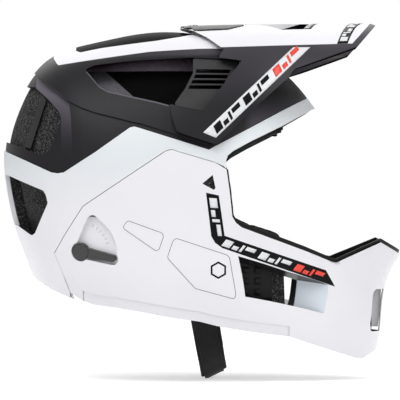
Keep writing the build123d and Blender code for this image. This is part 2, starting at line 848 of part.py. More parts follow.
def make_lever():
    """Right release lever: boss, tapered arm and the shaft that turns its cam."""
    seat = lever_plane().offset(lever_floor_gap)
    with BuildPart() as lever:
        with BuildSketch(seat):
            Circle(lever_boss_radius)
        extrude(amount=lever_boss_height)
        with BuildSketch(seat):
            Circle(lever_arm_radius)
            with Locations((lever_length(), 0)):
                Circle(lever_tip_radius)
            make_hull()
        extrude(amount=lever_arm_height)
        with BuildSketch(seat):
            Circle(shaft_radius)
        extrude(amount=-(shaft_length + lever_floor_gap))
    return lever


def make_lever_cam():
    """Eccentric cam on the inner end of the right lever's shaft."""
    with BuildPart() as cam:
        with BuildSketch(lever_plane().offset(-shaft_length)):
            with Locations((-cam_offset, 0)):
                Circle(cam_radius)
        extrude(amount=-cam_wall)
    return cam


def make_latch_posts():
    """Posts behind the lower shell's flange, which the cams bear on."""
    return trimmed(
        dome_wall(lower_wall + layer_gap, post_depth), side_prism(places(latch_post_shares))
    )


def make_port_trim():
    """Rubber edge that stands above the eye port's edge on the chin bar."""
    outline = shifted(port_edge, 0, trim_seat) + shifted(port_edge, 0, trim_height)[::-1]
    return trimmed(face_wall(trim_inset, trim_depth), side_prism(outline))


def make_chin_foam():
    """Foam behind the front of the chin bar, open at the mouth."""
    keep = side_prism(places(chin_foam_shares), grow=-liner_margin)
    frame = side_prism(window_bevel, grow=frame_margin + layer_gap)
    return trimmed(
        face_wall(chin_wall + layer_gap, chin_foam_depth), keep, [frame, mouth_cut()]
    )


def make_ear_foam():
    """Foam plates behind the chin bar's sides, with an opening over the ear."""
    frame = side_prism(window_bevel, grow=frame_margin + layer_gap)
    hole = side_bores(place(ear_hole_shares), ear_hole_radius, 0)
    keep = side_prism(places(ear_foam_shares))
    return trimmed(face_wall(chin_wall + layer_gap, chin_foam_depth), keep, [frame, hole])


def make_cheek_foam():
    """Firm foam blocks inside the chin bar, seen through its windows."""
    keep = side_prism(places(cheek_foam_shares))
    return trimmed(face_wall(cheek_foam_inset, cheek_foam_depth), keep)


def make_grille():
    """Bars across the mouth opening, in a frame that fits it."""
    height = mouth_high - mouth_low - 2 * layer_gap
    width = mouth_width - 2 * layer_gap
    with BuildPart() as grille:
        with BuildSketch(Plane.YZ.offset(grille_front_share * helmet_length)):
            with Locations((0, (mouth_low + mouth_high) / 2)):
                RectangleRounded(width, height, mouth_corner - layer_gap)
                RectangleRounded(
                    width - 2 * grille_frame,
                    height - 2 * grille_frame,
                    mouth_corner - layer_gap - grille_frame,
                    mode=Mode.SUBTRACT,
                )
                with GridLocations(grille_pitch, 0, int(width / grille_pitch) - 1, 1):
                    Rectangle(grille_bar, height - grille_frame)
        extrude(amount=-grille_wall)
    return grille


def cushion(outline, corners, inset, wall, swell, back):
    """Crowned cushion on the right side, on a plane through three points, cut back to its seat."""
    a, b, c = (surface_point(share, inset) for share in corners)
    normal = (b - a).cross(c - a)
    inward = normal if normal.Y > 0 else -normal
    seat = Plane(origin=a, x_dir=b - a, z_dir=inward).offset(pad_gap)
    flat = [seat.to_local_coords(surface_point(share, inset)) for share in outline]
    with BuildPart() as pad:
        for rise_share, swells in cushion_level_shares:
            grow = swells * swell
            with BuildSketch(seat.offset(rise_share * wall)) as level:
                with BuildLine():
                    Polyline(*[(point.X, point.Y) for point in flat], close=True)
                make_face()
                if grow:
                    offset(amount=grow, kind=Kind.INTERSECTION, mode=Mode.REPLACE)
                fillet(level.vertices(), radius=cushion_corner)
        loft()
        add(back, mode=Mode.SUBTRACT)
    return pad


def make_middle_pad(angles, span):
    """Crowned pad across the plane of symmetry, cut back to the liner."""
    whole = across_band(angles, liner_depth - pad_sink, pad_wall + pad_sink, span, pad_crown)
    with BuildPart() as pad:
        add(whole.part)
        add(liner_back, mode=Mode.SUBTRACT)
    return pad


def make_cheek_pad():
    """Thick pad on the inside of the right cheek foam."""
    back = face_wall(cheek_foam_depth - tool_overrun, cheek_foam_depth + pad_gap)
    shape = (cheek_pad_wall, cheek_pad_swell, back)
    return cushion(cheek_pad_shares, cheek_pad_corners, cheek_foam_depth, *shape)


def make_side_pad():
    """Pad at the right temple."""
    shape = (pad_wall, side_pad_swell, liner_back)
    return cushion(side_pad_shares, side_pad_corners, liner_depth, *shape)


def strap_run(start, end, upright):
    """Flat webbing between two points, its width along Z where upright, else along X."""
    with BuildPart() as run:
        for x, y, z in (start, end):
            if upright:
                with BuildSketch(Plane.YZ.offset(x)):
                    with Locations((y, z)):
                        Rectangle(web_wall, web_width)
            else:
                with BuildSketch(Plane.XY.offset(z)):
                    with Locations((x, y)):
                        Rectangle(web_width, web_wall)
        loft(ruled=True)
    return run


def strap_loop(points, wall, width):
    """Flat band along a path in the plane of the chin strap's loop."""
    with BuildPart() as band:
        with BuildSketch(strap_plane):
            with BuildLine():
                FilletPolyline(*points, radius=strap_bend)
            trace(line_width=wall)
        extrude(amount=width / 2, both=True)
    return band


def make_strap_anchors():
    """Four anchor discs on the inside of the liner."""
    with BuildPart() as anchors:
        for share in (front_anchor_shares, rear_anchor_shares):
            seat = anchor_seat(share)
            for side in (1, -1):
                with BuildSketch(Plane.XZ.offset(side * seat)):
                    with Locations(place(share)):
                        Circle(anchor_radius)
                extrude(amount=-side * anchor_wall)
    return anchors


def anchor_seat(share):
    """Distance of an anchor's outer face from the plane of symmetry."""
    return surface_y(*place(share), liner_depth) - anchor_drop


def anchor_point(share):
    """Place on the left where a strap leaves its anchor."""
    x, z = place(share)
    return x, anchor_seat(share) - anchor_wall - web_wall / 2, z


def make_slider():
    """Left slider that joins the front and rear straps to the chin strap."""
    x, z = place(slider_shares)
    with BuildPart() as slider:
        with BuildSketch(Plane.XZ.offset(-(slider_y - slider_wall / 2))):
            with Locations((x, z)):
                RectangleRounded(slider_width, slider_height, slider_corner)
        extrude(amount=-slider_wall)
    return slider


def make_buckle(start, end):
    """Box along the chin strap between two points of its loop."""
    run = hypot(end[0] - start[0], end[1] - start[1])
    middle = ((start[0] + end[0]) / 2, (start[1] + end[1]) / 2)
    turn = degrees(atan2(end[1] - start[1], end[0] - start[0]))
    with BuildPart() as buckle:
        with BuildSketch(strap_plane):
            with Locations(Location(middle, turn)):
                Rectangle(run, buckle_wall)
        extrude(amount=buckle_width / 2, both=True)
        fillet(buckle.edges().filter_by(Axis(strap_plane.origin, strap_plane.z_dir)), buckle_corner)
    return buckle


def fit_point(degree):
    """Point of the cradle's outer face in the plane of symmetry."""
    angle = radians(degree)
    radius = centre_radius(angle) - liner_depth - band_gap
    return Vector(radius * cos(angle), 0, radius * sin(angle))


def fit_plane(distance):
    """Plane that touches the cradle behind the nape, moved outward by a distance."""
    along = fit_point(cradle_angles[-1]) - fit_point(cradle_angles[0])
    outward = Vector(along.Z, 0, -along.X)
    return Plane(origin=fit_point(dial_angle), x_dir=(0, 1, 0), z_dir=outward).offset(distance)


def make_fit_cradle():
    """Cradle behind the nape with the post on which the dial turns."""
    cradle = across_band(cradle_angles, liner_depth + band_gap, cradle_wall, cradle_span)
    with BuildPart(fit_plane(-cradle_wall / 2)) as post:
        Cylinder(shaft_radius, dial_gap + dial_height + cradle_wall / 2, align=base)
    with BuildPart() as joined:
        add(cradle.part)
        add(post.part)
    return joined


def make_fit_dial():
    """Dial with finger lobes round its rim."""
    with BuildPart() as dial:
        with BuildSketch(fit_plane(dial_gap)):
            Circle(dial_radius)
            with PolarLocations(dial_radius, dial_lobes):
                Circle(lobe_radius, mode=Mode.SUBTRACT)
            Circle(shaft_radius + shaft_clearance, mode=Mode.SUBTRACT)
        extrude(amount=dial_height)
    return dial


os.makedirs("parts", exist_ok=True)

liner_back = dome_wall(liner_depth - tool_overrun, liner_depth + pad_gap)
side_vent_solids = make_vent_louver()
pieces = {
    "upper_shell": make_upper_shell(),
    "lower_shell": make_lower_shell(),
    "main_liner": make_main_liner(),
    "rear_vent_bars": make_rear_bar(),
    "brow_trim": make_brow_trim(),
    "vent_louver_left": left_half(side_vent_solids),
    "vent_louver_right": right_half(side_vent_solids),
    "visor_shell": make_visor(),
    "visor_scoop": make_visor_scoop(),
    "chin_bar_shell": make_chin_bar(),
    "chin_bar_foam": make_chin_foam(),
    "mouth_grille": make_grille(),
    "strap_anchors": make_strap_anchors(),
    "fit_cradle": make_fit_cradle(),
    "fit_dial": make_fit_dial(),
}

# Pads across the plane of symmetry
for name, (angles, span) in middle_pads.items():
    pieces[name] = make_middle_pad(angles, span)

# Symmetric pieces that are cut in two
for name, whole in (
    ("ear_foam", make_ear_foam()),
    ("cheek_foam", make_cheek_foam()),
    ("latch_post", make_latch_posts()),
    ("fit_band", make_fit_bands()),
):
    pieces[f"{name}_left"] = left_half(whole)
    pieces[f"{name}_right"] = right_half(whole)

# Pieces drawn on the left side and mirrored
slider_x, slider_z = place(slider_shares)
front_end = (slider_x, slider_y, slider_z + slider_height / 2)
rear_end = (slider_x - slider_width / 2, slider_y, slider_z)
for name, left in (
    ("visor_bush", make_visor_bush()),
    ("visor_screw", make_visor_screw()),
    ("strap_slider", make_slider()),
    ("strap_front", strap_run(anchor_point(front_anchor_shares), front_end, False)),
    ("strap_rear", strap_run(anchor_point(rear_anchor_shares), rear_end, True)),
):
    pieces[f"{name}_left"] = left
    pieces[f"{name}_right"] = mirrored(left)

# Pieces drawn on the right side and mirrored
for name, right in (
    ("eye_port_trim", right_half(make_port_trim())),
    ("lever", make_lever()),
    ("lever_cam", make_lever_cam()),
    ("cheek_pad", make_cheek_pad()),
    ("side_pad", make_side_pad()),
):
    pieces[f"{name}_right"] = right
    pieces[f"{name}_left"] = mirrored(right)

# Chin strap and its buckle
loop = [(y * half_width, drop * helmet_height) for y, drop in loop_shares]
clasp = [(y * half_width, drop * helmet_height) for y, drop in buckle_shares]
catch = tuple(top + (low - top) * catch_share for top, low in zip(clasp[0], clasp[1]))
right_path = loop + [(-loop[3][0], loop[3][1]), clasp[2], clasp[1]]
left_end = (clasp[0][0], clasp[0][1] + strap_end_gap)
left_path = [(-loop[0][0], loop[0][1]), (-loop[1][0], clasp[0][1] / 2), left_end]
pieces["chin_strap_right"] = strap_loop(right_path, web_wall, web_width)
pieces["chin_strap_left"] = strap_loop(left_path, web_wall, web_width)
pieces["buckle_body"] = make_buckle(catch, clasp[1])
pieces["buckle_catch"] = make_buckle(clasp[0], catch)
sleeve_path = [(y + sleeve_offset, drop + sleeve_offset) for y, drop in loop[1:]]
pieces["chin_sleeve"] = strap_loop(sleeve_path, sleeve_wall, sleeve_width)

for name, piece in pieces.items():
    piece.part.label = name
    export_step(piece.part, f"parts/{name}.step")
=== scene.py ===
import json
import math

import bmesh
import bpy
import numpy as np
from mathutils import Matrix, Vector
from mathutils.bvhtree import BVHTree


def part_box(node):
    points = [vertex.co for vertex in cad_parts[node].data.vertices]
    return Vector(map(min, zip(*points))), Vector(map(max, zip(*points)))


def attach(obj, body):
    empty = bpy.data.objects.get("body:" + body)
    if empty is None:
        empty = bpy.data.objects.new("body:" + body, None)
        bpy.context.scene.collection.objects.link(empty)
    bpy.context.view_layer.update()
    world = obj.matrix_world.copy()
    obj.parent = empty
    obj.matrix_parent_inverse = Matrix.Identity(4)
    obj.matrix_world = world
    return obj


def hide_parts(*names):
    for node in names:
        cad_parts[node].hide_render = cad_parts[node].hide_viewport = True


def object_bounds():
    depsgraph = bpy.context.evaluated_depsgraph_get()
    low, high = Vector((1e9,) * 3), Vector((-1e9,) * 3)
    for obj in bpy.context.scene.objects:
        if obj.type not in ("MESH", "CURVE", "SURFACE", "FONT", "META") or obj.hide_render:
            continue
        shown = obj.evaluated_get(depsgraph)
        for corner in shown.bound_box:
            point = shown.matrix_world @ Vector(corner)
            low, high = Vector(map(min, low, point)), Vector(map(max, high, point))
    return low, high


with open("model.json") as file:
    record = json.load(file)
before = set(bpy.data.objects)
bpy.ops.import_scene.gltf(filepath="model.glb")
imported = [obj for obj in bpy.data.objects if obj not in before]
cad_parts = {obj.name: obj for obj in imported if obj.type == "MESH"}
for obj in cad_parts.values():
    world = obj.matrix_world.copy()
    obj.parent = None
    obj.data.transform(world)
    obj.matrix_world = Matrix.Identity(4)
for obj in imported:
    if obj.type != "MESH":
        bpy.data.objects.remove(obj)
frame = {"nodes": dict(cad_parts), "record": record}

cad_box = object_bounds()

# Sizes in metres; outline shares follow the helmet's length and height
LENGTH = 0.364
HEIGHT = 0.307
HALF_WIDTH = 0.117
LINE_START, LINE_END = -0.6, 0.7
STICKER_WALL = 0.00012
SKIN_WALL = 0.0012
PLATE_WALL = 0.0005
GRID = 0.003
CAST_START = 0.2
RIGHT, LEFT = -1, 1
SIDES = (("right", RIGHT), ("left", LEFT))

WHITE = (0.885, 0.88, 0.915)
COOL_WHITE = (0.80, 0.84, 0.87)
CHARCOAL = (0.017, 0.0155, 0.019)
INK = (0.003, 0.003, 0.0035)
RED = (0.95, 0.06, 0.035)
# dark of the shells' bare insides, also used as painted shade on the window walls
BARE_DARK_AND_SHADE = (0.012, 0.0115, 0.013)
# painted shade: cooler white on the floor of the window recesses
RECESS_SHADE_WHITE = (0.70, 0.76, 0.83)
# painted shade: black depth of the side vents
VENT_DEPTH_SHADE = (0.0003, 0.0003, 0.0003)
# painted light: pale upper wall of the side vents
VENT_WALL_LIT = (0.55, 0.48, 0.55)
# painted light: lighter slanted facet in the side vents
VENT_FACET_LIT = (0.16, 0.155, 0.17)


def place(share):
    """Point in the plane of symmetry at a side view share."""
    return Vector((share[0] * LENGTH, 0.0, share[1] * HEIGHT))


# ---- materials
class Paint:
    """One material, with short ways to add and join its nodes."""

    def __init__(self, name, **uniform):
        self.material = bpy.data.materials.new(name)
        self.material.use_nodes = True
        self.nodes = self.material.node_tree.nodes
        self.links = self.material.node_tree.links
        self.shader = self.nodes["Principled BSDF"]
        self.feed(self.shader, {key.replace("_", " "): v for key, v in uniform.items()})
        self.where = self.add("TexCoord").outputs["Object"]
        self.x, _, self.z = self.add("SeparateXYZ", {0: self.where}).outputs

    def feed(self, node, values):
        for socket, value in values.items():
            if isinstance(value, bpy.types.NodeSocket):
                self.links.new(value, node.inputs[socket])
            else:
                node.inputs[socket].default_value = value

    def add(self, kind, values=None, **settings):
        node = self.nodes.new("ShaderNode" + kind)
        for key, value in settings.items():
            setattr(node, key, value)
        self.feed(node, values or {})
        return node

    def maths(self, operation, a, b=0.0):
        return self.add("Math", {0: a, 1: b}, operation=operation).outputs[0]

    def mix(self, factor, a, b):
        a, b = ((*c, 1.0) if isinstance(c, tuple) else c for c in (a, b))
        return self.add("Mix", {0: factor, 6: a, 7: b}, data_type="RGBA").outputs[2]

    def noise(self, scale, detail=3.0, roughness=0.55):
        values = {"Vector": self.where, "Scale": scale, "Detail": detail, "Roughness": roughness}
        return self.add("TexNoise", values).outputs[0]

    def between(self, factor, a, b):
        """Plain number between two others."""
        return self.add("Mix", {0: factor, 2: a, 3: b}, data_type="FLOAT").outputs[0]

    def product(self, *values):
        """Product of values; of masks, one where all of them are one."""
        result = values[0]
        for value in values[1:]:
            result = self.maths("MULTIPLY", result, value)
        return result

    def inverse(self, mask):
        return self.maths("SUBTRACT", 1.0, mask)

    def plus(self, base, value, factor):
        """A base value plus another one times a factor."""
        return self.maths("ADD", base, self.product(value, factor))

    def wave(self, value, pitch):
        """Sine wave of the given pitch in metres."""
        return self.maths("SINE", self.product(value, 2 * math.pi / pitch))

    def cells(self, scale, feature="F1"):
        return self.add("TexVoronoi", {"Vector": self.where, "Scale": scale}, feature=feature)

    def ramp(self, value, low, high):
        values = {"Value": value, "From Min": low, "From Max": high}
        return self.add("MapRange", values).outputs[0]

    def line(self, shares):
        """Height share of a side view line at each x, as a curve of straight pieces."""
        unit = self.ramp(self.x, LINE_START * LENGTH, LINE_END * LENGTH)
        node = self.add("FloatCurve", {"Value": unit})
        curve = node.mapping.curves[0]
        points = [((x - LINE_START) / (LINE_END - LINE_START), z) for x, z in shares]
        curve.points[0].location, curve.points[1].location = points[0], points[-1]
        for point in points[1:-1]:
            curve.points.new(*point)
        for point in curve.points:
            point.handle_type = "VECTOR"
        node.mapping.update()
        return node.outputs[0]

    def rise(self, shares):
        """Height share above a side view line, whose own shares are never negative."""
        return self.maths("SUBTRACT", self.maths("DIVIDE", self.z, HEIGHT), self.line(shares))

    def above(self, shares, soft=0.0006):
        """One above a side view line, zero below it."""
        return self.ramp(self.rise(shares), -soft, soft)

    def under(self, shares, width, soft=0.0006):
        """One in a band of the given width right under a side view line."""
        rise = self.rise(shares)
        low = self.ramp(rise, -width - soft, -width + soft)
        return self.product(low, self.ramp(rise, soft, -soft))

    def scaled(self, colour, factor):
        return self.add("VectorMath", {0: colour, "Scale": factor}, operation="SCALE").outputs[0]

    def inward(self):
        """One on faces that look towards the middle of the helmet."""
        normal = self.add("TexCoord").outputs["Normal"]
        reach = self.add("VectorMath", {0: self.where, 1: (0.02, 0.0, 0.02)}, operation="SUBTRACT")
        out = self.add("VectorMath", {0: reach.outputs[0]}, operation="NORMALIZE")
        facing = self.add("VectorMath", {0: out.outputs[0], 1: normal}, operation="DOT_PRODUCT")
        return self.ramp(facing.outputs["Value"], -0.45, -0.55)

    def paint(self, colour):
        self.feed(self.shader, {"Base Color": colour})

    def relief(self, *layers, bevel=0.0):
        """Bump layers of (height, distance in metres), over rounded edges."""
        normal = self.add("Bevel", {"Radius": bevel}, samples=6).outputs[0] if bevel else None
        for height, distance in layers:
            values = {"Height": height, "Distance": distance}
            if normal:
                values["Normal"] = normal
            normal = self.add("Bump", values).outputs[0]
        self.feed(self.shader, {"Normal": normal})


def shell_paint(name, high, low, recess=None):
    """Sprayed plastic that turns from one white to another downwards, bare and dark inside:
    a faint orange peel, a slight drift of colour and rounded edges."""
    paint = Paint(name, Roughness=0.36, Coat_Weight=0.35, Coat_Roughness=0.22)
    drift = paint.ramp(paint.noise(9.0), 0.3, 0.7)
    colour = paint.mix(paint.ramp(paint.z, 0.045, 0.0), high, low)
    colour = paint.scaled(colour, paint.plus(0.965, drift, 0.035))
    # painted shade in recesses, where a recess function is given
    if recess:
        colour = recess(paint, colour)
    paint.paint(paint.mix(paint.inward(), colour, BARE_DARK_AND_SHADE))
    paint.relief((paint.noise(650.0, 2.0), 0.00006), bevel=0.0006)
    return paint


def window_recess_shade(paint, colour):
    """Painted shade in each window's recess: a cooler white floor, dark walls above and below."""
    normal = paint.add("SeparateXYZ", {0: paint.add("TexCoord").outputs["Normal"]}).outputs
    left, right = paint.ramp(paint.x, 0.068, 0.069), paint.ramp(paint.x, 0.172, 0.171)
    low, high = paint.ramp(paint.z, -0.096, -0.095), paint.ramp(paint.z, -0.032, -0.033)
    area = paint.product(left, right, low, high)
    front = paint.ramp(paint.x, 0.122, 0.124)
    flat = paint.product(area, front, paint.ramp(normal[0], 0.15, 0.10))
    # painted shade: cooler white on the recess floor
    colour = paint.mix(flat, colour, RECESS_SHADE_WHITE)
    # painted shade: dark upper and lower walls of the recess
    height = paint.maths("ADD", paint.z, 0.072)
    walls = paint.ramp(paint.product(normal[2], height), -0.0040, -0.0055)
    return paint.mix(paint.product(area, walls), colour, BARE_DARK_AND_SHADE)


def two_tone(name, mask_of, tone_and_painted_light_of, dark, light):
    """Sprayed plastic in two colours, split by a mask over the side view, its dark one in several
    tones, which carry painted highlights and painted shade."""
    paint = Paint(name)
    mask = mask_of(paint)
    # tone carries the painted highlights and painted shade of the dark paint
    tone, shine = tone_and_painted_light_of(paint)
    paint.feed(paint.shader, {"Specular IOR Level": shine})
    drift = paint.ramp(paint.noise(11.0), 0.3, 0.7)
    darker = paint.mix(drift, tuple(c * 0.85 for c in dark), dark)
    darker = paint.scaled(darker, tone)
    lighter = paint.mix(drift, tuple(c * 0.965 for c in light), light)
    paint.paint(paint.mix(mask, darker, lighter))
    speck = paint.ramp(paint.noise(900.0, 2.0), 0.35, 0.65)
    paint.feed(paint.shader, {"Roughness": paint.plus(0.42, speck, 0.06)})
    paint.relief((paint.noise(1100.0, 2.0), 0.00005), bevel=0.0007)
    return paint


STRIPE_LOW = [(-0.6, 0.60), (-0.2432, 0.60), (-0.243, 0.456), (-0.226, 0.426), (-0.121, 0.444),
              (0.003, 0.464), (0.126, 0.474), (0.185, 0.476), (0.7, 0.478)]
STRIPE_TOP = [(-0.6, 0.60), (-0.188, 0.60), (-0.186, 0.473), (-0.172, 0.465), (-0.117, 0.478),
              (0.020, 0.499), (0.082, 0.513), (0.126, 0.527), (0.7, 0.60)]


def crown_mask(paint):
    """White stripe along the crown."""
    return paint.product(paint.above(STRIPE_LOW), paint.inverse(paint.above(STRIPE_TOP)))


def crown_tone_with_painted_light(paint):
    """Tones of the crown's dark paint, and its shine: a black inlay on top; painted highlights as
    light strips over and under the side vents, a light band beside the rear vent and a light line
    under the side vent's lower edge; and painted shade on a brow that darkens upwards under the
    visor."""
    inlay = paint.above(STRIPE_TOP)
    # painted highlight: light strip by the side vents
    strip_highlight = paint.above([(-0.6, 0.60), (-0.16, 0.60), (-0.145, 0.432), (-0.055, 0.4465),
                         (0.126, 0.4545), (0.7, 0.47)], 0.004)
    strip_highlight = paint.product(strip_highlight, paint.ramp(paint.x, -0.075, 0.04))
    # painted highlight: light band beside the rear vent, fading downwards
    beside = paint.above([(-0.6, 0.6), (-0.2835, 0.6), (-0.283, 0.361), (-0.245, 0.320),
                          (-0.221, 0.288), (-0.214, 0.271), (-0.213, 0.0), (0.7, 0.0)], 0.004)
    beyond = paint.above([(-0.6, 0.385), (-0.283, 0.385), (-0.222, 0.335), (-0.190, 0.300),
                          (-0.178, 0.0), (0.7, 0.0)], 0.012)
    fade = paint.maths("POWER", paint.ramp(paint.z, 0.045, 0.103), 2.0)
    band = paint.product(beside, paint.inverse(beyond), fade)
    # painted highlight: light line under the lower edge of the side vent
    lip = paint.under([(-0.6, 0.0), (-0.1575, 0.0), (-0.157, 0.411), (-0.144, 0.394),
                       (-0.121, 0.361), (-0.098, 0.346), (-0.036, 0.329), (0.017, 0.315),
                       (0.052, 0.304), (0.0525, 0.0), (0.7, 0.0)], 0.0045)
    tone = paint.plus(0.75, strip_highlight, 2.6)
    tone = paint.plus(tone, band, 7.0)
    tone = paint.plus(tone, lip, 6.0)
    # painted shade: the brow darkens upwards under the visor
    brow = paint.plus(0.1, paint.ramp(paint.z, 0.106, 0.080), 3.6)
    tone = paint.between(paint.ramp(paint.x, 0.085, 0.092), tone, brow)
    return paint.between(inlay, tone, 0.1), paint.plus(0.22, inlay, -0.21)


def visor_tone_with_painted_light(paint):
    """Tones of the visor's dark paint, and its shine: a painted highlight that makes it lighter
    towards the roof, and painted shade that makes it black under the fold of its front."""
    # painted highlight: lighter towards the roof
    tone = paint.plus(0.8, paint.ramp(paint.z, 0.092, 0.149), 2.4)
    # painted shade: black below the line of the front's fold
    fold = paint.above([(-0.6, 0.0), (0.325, 0.0), (0.345, 0.390), (0.359, 0.4115),
                        (0.517, 0.479), (0.7, 0.53)], 0.001)
    return paint.between(fold, 0.12, tone), paint.plus(0.02, fold, 0.2)


def roof_mask(paint):
    """White roof of the visor, without its front rim."""
    roof = paint.above([(-0.6, 0.474), (0.137, 0.477), (0.454, 0.486), (0.7, 0.494)])
    forward = paint.plus(paint.x, paint.z, -0.9)
    return paint.product(roof, paint.ramp(forward, 0.0482, 0.0478))


def vent_shade(paint, colour):
    """Side vents of the liner: painted light on a plain upper wall and a slanted facet behind, and
    painted shade as black depth.
    """
    area = paint.product(paint.ramp(paint.z, 0.093, 0.094), paint.ramp(paint.x, -0.071, -0.070))
    wall = paint.ramp(paint.z, 0.1252, 0.1260)
    facet = paint.inverse(paint.above([(-0.3, 0.616), (0.1, 0.182)]))
    # painted shade in the depth, painted light on the wall and facet
    vent_light_and_shade = paint.mix(wall, VENT_DEPTH_SHADE, VENT_WALL_LIT)
    vent_light_and_shade = paint.mix(paint.product(facet, paint.inverse(wall)), vent_light_and_shade, VENT_FACET_LIT)
    return paint.mix(area, colour, vent_light_and_shade)


def foam_paint(name, dark=0.006, light=0.26, shade=None):
    """Bead foam: dark cells of many greys with pale specks, seams and pits."""
    paint = Paint(name, Roughness=0.8, Specular_IOR_Level=0.12)
    beads = paint.cells(430.0)
    tone = paint.ramp(beads.outputs["Color"], 0.15, 0.85)
    grain = paint.ramp(paint.noise(820.0, 4.0, 0.7), 0.50, 0.68)
    base = paint.mix(tone, (dark, dark, dark * 1.05), (dark * 5.5, dark * 5.3, dark * 5.5))
    colour = paint.mix(grain, base, (light, light * 0.97, light))
    paint.paint(shade(paint, colour) if shade else colour)
    edge = paint.ramp(paint.cells(430.0, "DISTANCE_TO_EDGE").outputs["Distance"], 0.0, 0.12)
    paint.relief((edge, 0.0005), (grain, 0.0003))
    return paint


def plastic_paint(name, tone, roughness, grain=0.00006, bevel=0.0004, gloss=0.16):
    """Moulded plastic with a fine spark-eroded grain."""
    paint = Paint(name, Roughness=roughness, Specular_IOR_Level=gloss)
    drift = paint.ramp(paint.noise(60.0), 0.3, 0.7)
    paint.paint(paint.mix(drift, (tone * 0.8,) * 3, (tone, tone, tone * 1.08)))
    paint.relief((paint.noise(1400.0, 3.0), grain), bevel=bevel)
    return paint


def scoop_shade_mask(paint):
    """Front part of the roof's scoop, which lies in the dark."""
    return paint.ramp(paint.plus(paint.x, paint.z, -2.6), -0.3072, -0.3062)


def scoop_plastic(name):
    """Satin grey scoop with painted shade: it darkens forwards into a black front part."""
    paint = Paint(name, Roughness=0.4)
    mottle = paint.ramp(paint.noise(300.0), 0.3, 0.7)
    rear = paint.mix(mottle, (0.42, 0.43, 0.45), (0.48, 0.49, 0.51))
    # painted shade: the grey darkens forwards
    pale = paint.mix(paint.ramp(paint.x, 0.095, 0.125), rear, (0.17, 0.17, 0.18))
    # painted shade: black front part
    dark = paint.mix(mottle, tuple(c * 0.3 for c in INK), tuple(c * 0.5 for c in INK))
    mask = scoop_shade_mask(paint)
    paint.paint(paint.mix(mask, pale, dark))
    paint.feed(paint.shader, {"Specular IOR Level": paint.ramp(mask, 1.0, -0.5)})
    paint.relief((paint.noise(1400.0, 3.0), 0.00005), bevel=0.0004)
    return paint


def fabric_paint(name, tone, pitch, rib):
    """Knitted fabric: ribs across, stitches along, and a soft sheen."""
    paint = Paint(name, Roughness=0.9, Specular_IOR_Level=0.2, Sheen_Weight=0.08)
    knit = paint.product(paint.wave(paint.x, pitch), paint.wave(paint.z, pitch))
    weave = paint.ramp(knit, -1.0, 1.0)
    fuzz = paint.noise(2200.0, 4.0)
    yarn = paint.product(weave, paint.ramp(fuzz, 0.2, 0.8))
    paint.paint(paint.mix(yarn, (tone * 0.45,) * 3, (tone * 1.6, tone * 1.6, tone * 1.7)))
    paint.relief((weave, rib), (fuzz, rib / 3))
    return paint


def webbing_paint(name):
    """Woven strap: fine slanted ribs along it, from its own along and across coordinates."""
    paint = Paint(name, Roughness=0.5, Specular_IOR_Level=0.14, Sheen_Weight=0.04)
    uv = paint.add("UVMap", uv_map="along").outputs[0]
    along, across, _ = paint.add("SeparateXYZ", {0: uv}).outputs
    cord, pick = paint.wave(across, 0.0014), paint.wave(along, 0.0009)
    twill = paint.ramp(paint.plus(cord, pick, 0.8), -1.8, 1.8)
    fuzz = paint.noise(1800.0, 3.0)
    paint.paint(paint.mix(paint.product(twill, fuzz), (0.004,) * 3, (0.055, 0.054, 0.06)))
    paint.relief((twill, 0.00025), (fuzz, 0.00008))
    return paint


def metal_paint(name):
    """Bare metal with a brushed grain."""
    paint = Paint(name, Metallic=1.0, Roughness=0.24)
    brushed = paint.ramp(paint.noise(700.0, 4.0), 0.3, 0.7)
    paint.paint(paint.mix(brushed, (0.38, 0.38, 0.40), (0.72, 0.72, 0.74)))
    paint.relief((brushed, 0.00003), bevel=0.0002)
    return paint


def ink_paint(name, colour, roughness=0.35, gloss=0.5):
    """Printed film over slightly mottled ink."""
    paint = Paint(name, Roughness=roughness, Specular_IOR_Level=gloss)
    mottle = paint.ramp(paint.noise(500.0, 4.0), 0.25, 0.75)
    paint.paint(paint.mix(mottle, tuple(c * 0.9 for c in colour), colour))
    paint.relief((mottle, 0.00002))
    return paint


cheek_white = shell_paint("cheek_white", WHITE, WHITE, window_recess_shade)
shell_white = shell_paint("shell_white", COOL_WHITE, WHITE)
crown_paint = two_tone("crown_paint", crown_mask, crown_tone_with_painted_light, CHARCOAL, WHITE)
visor_paint = two_tone("visor_paint", roof_mask, visor_tone_with_painted_light, CHARCOAL, WHITE)
scoop_paint = scoop_plastic("scoop_grey")
bead_foam = foam_paint("bead_foam")
liner_foam = foam_paint("liner_foam", shade=vent_shade)
dark_plastic = plastic_paint("dark_plastic", 0.015, 0.4)
bar_plastic = plastic_paint("bar_plastic", 0.035, 0.4)
louver_plastic = plastic_paint("louver_plastic", 0.055, 0.4)
grille_plastic = plastic_paint("grille_plastic", 0.015, 0.35)
rubber = plastic_paint("rubber", 0.009, 0.5, grain=0.0001)
gloss_black = plastic_paint("gloss_black", 0.006, 0.13, grain=0.00001, bevel=0.0014, gloss=0.6)
pad_fabric = fabric_paint("pad_fabric", 0.034, 0.0030, 0.0006)
piping_fabric = fabric_paint("piping_fabric", 0.012, 0.0010, 0.0001)
webbing = webbing_paint("webbing")
steel = metal_paint("steel")
white_ink = ink_paint("white_ink", (0.85, 0.86, 0.88))
black_ink = ink_paint("black_ink", INK, 0.4, 0.12)
red_ink = ink_paint("red_ink", RED)
line_ink = ink_paint("line_ink", (0.10, 0.10, 0.11))
faint_ink = ink_paint("faint_ink", (0.62, 0.68, 0.73))
thread = ink_paint("thread", (0.022, 0.022, 0.024), 0.7, 0.2)


def dress(paint, *names):
    """Gives CAD nodes a material."""
    for name in names:
        mesh = frame["nodes"][name].data
        mesh.materials.clear()
        mesh.materials.append(paint.material)


def both(*names):
    """Names of the right and left nodes."""
    return [f"{name}_{side}" for name in names for side, _ in SIDES]


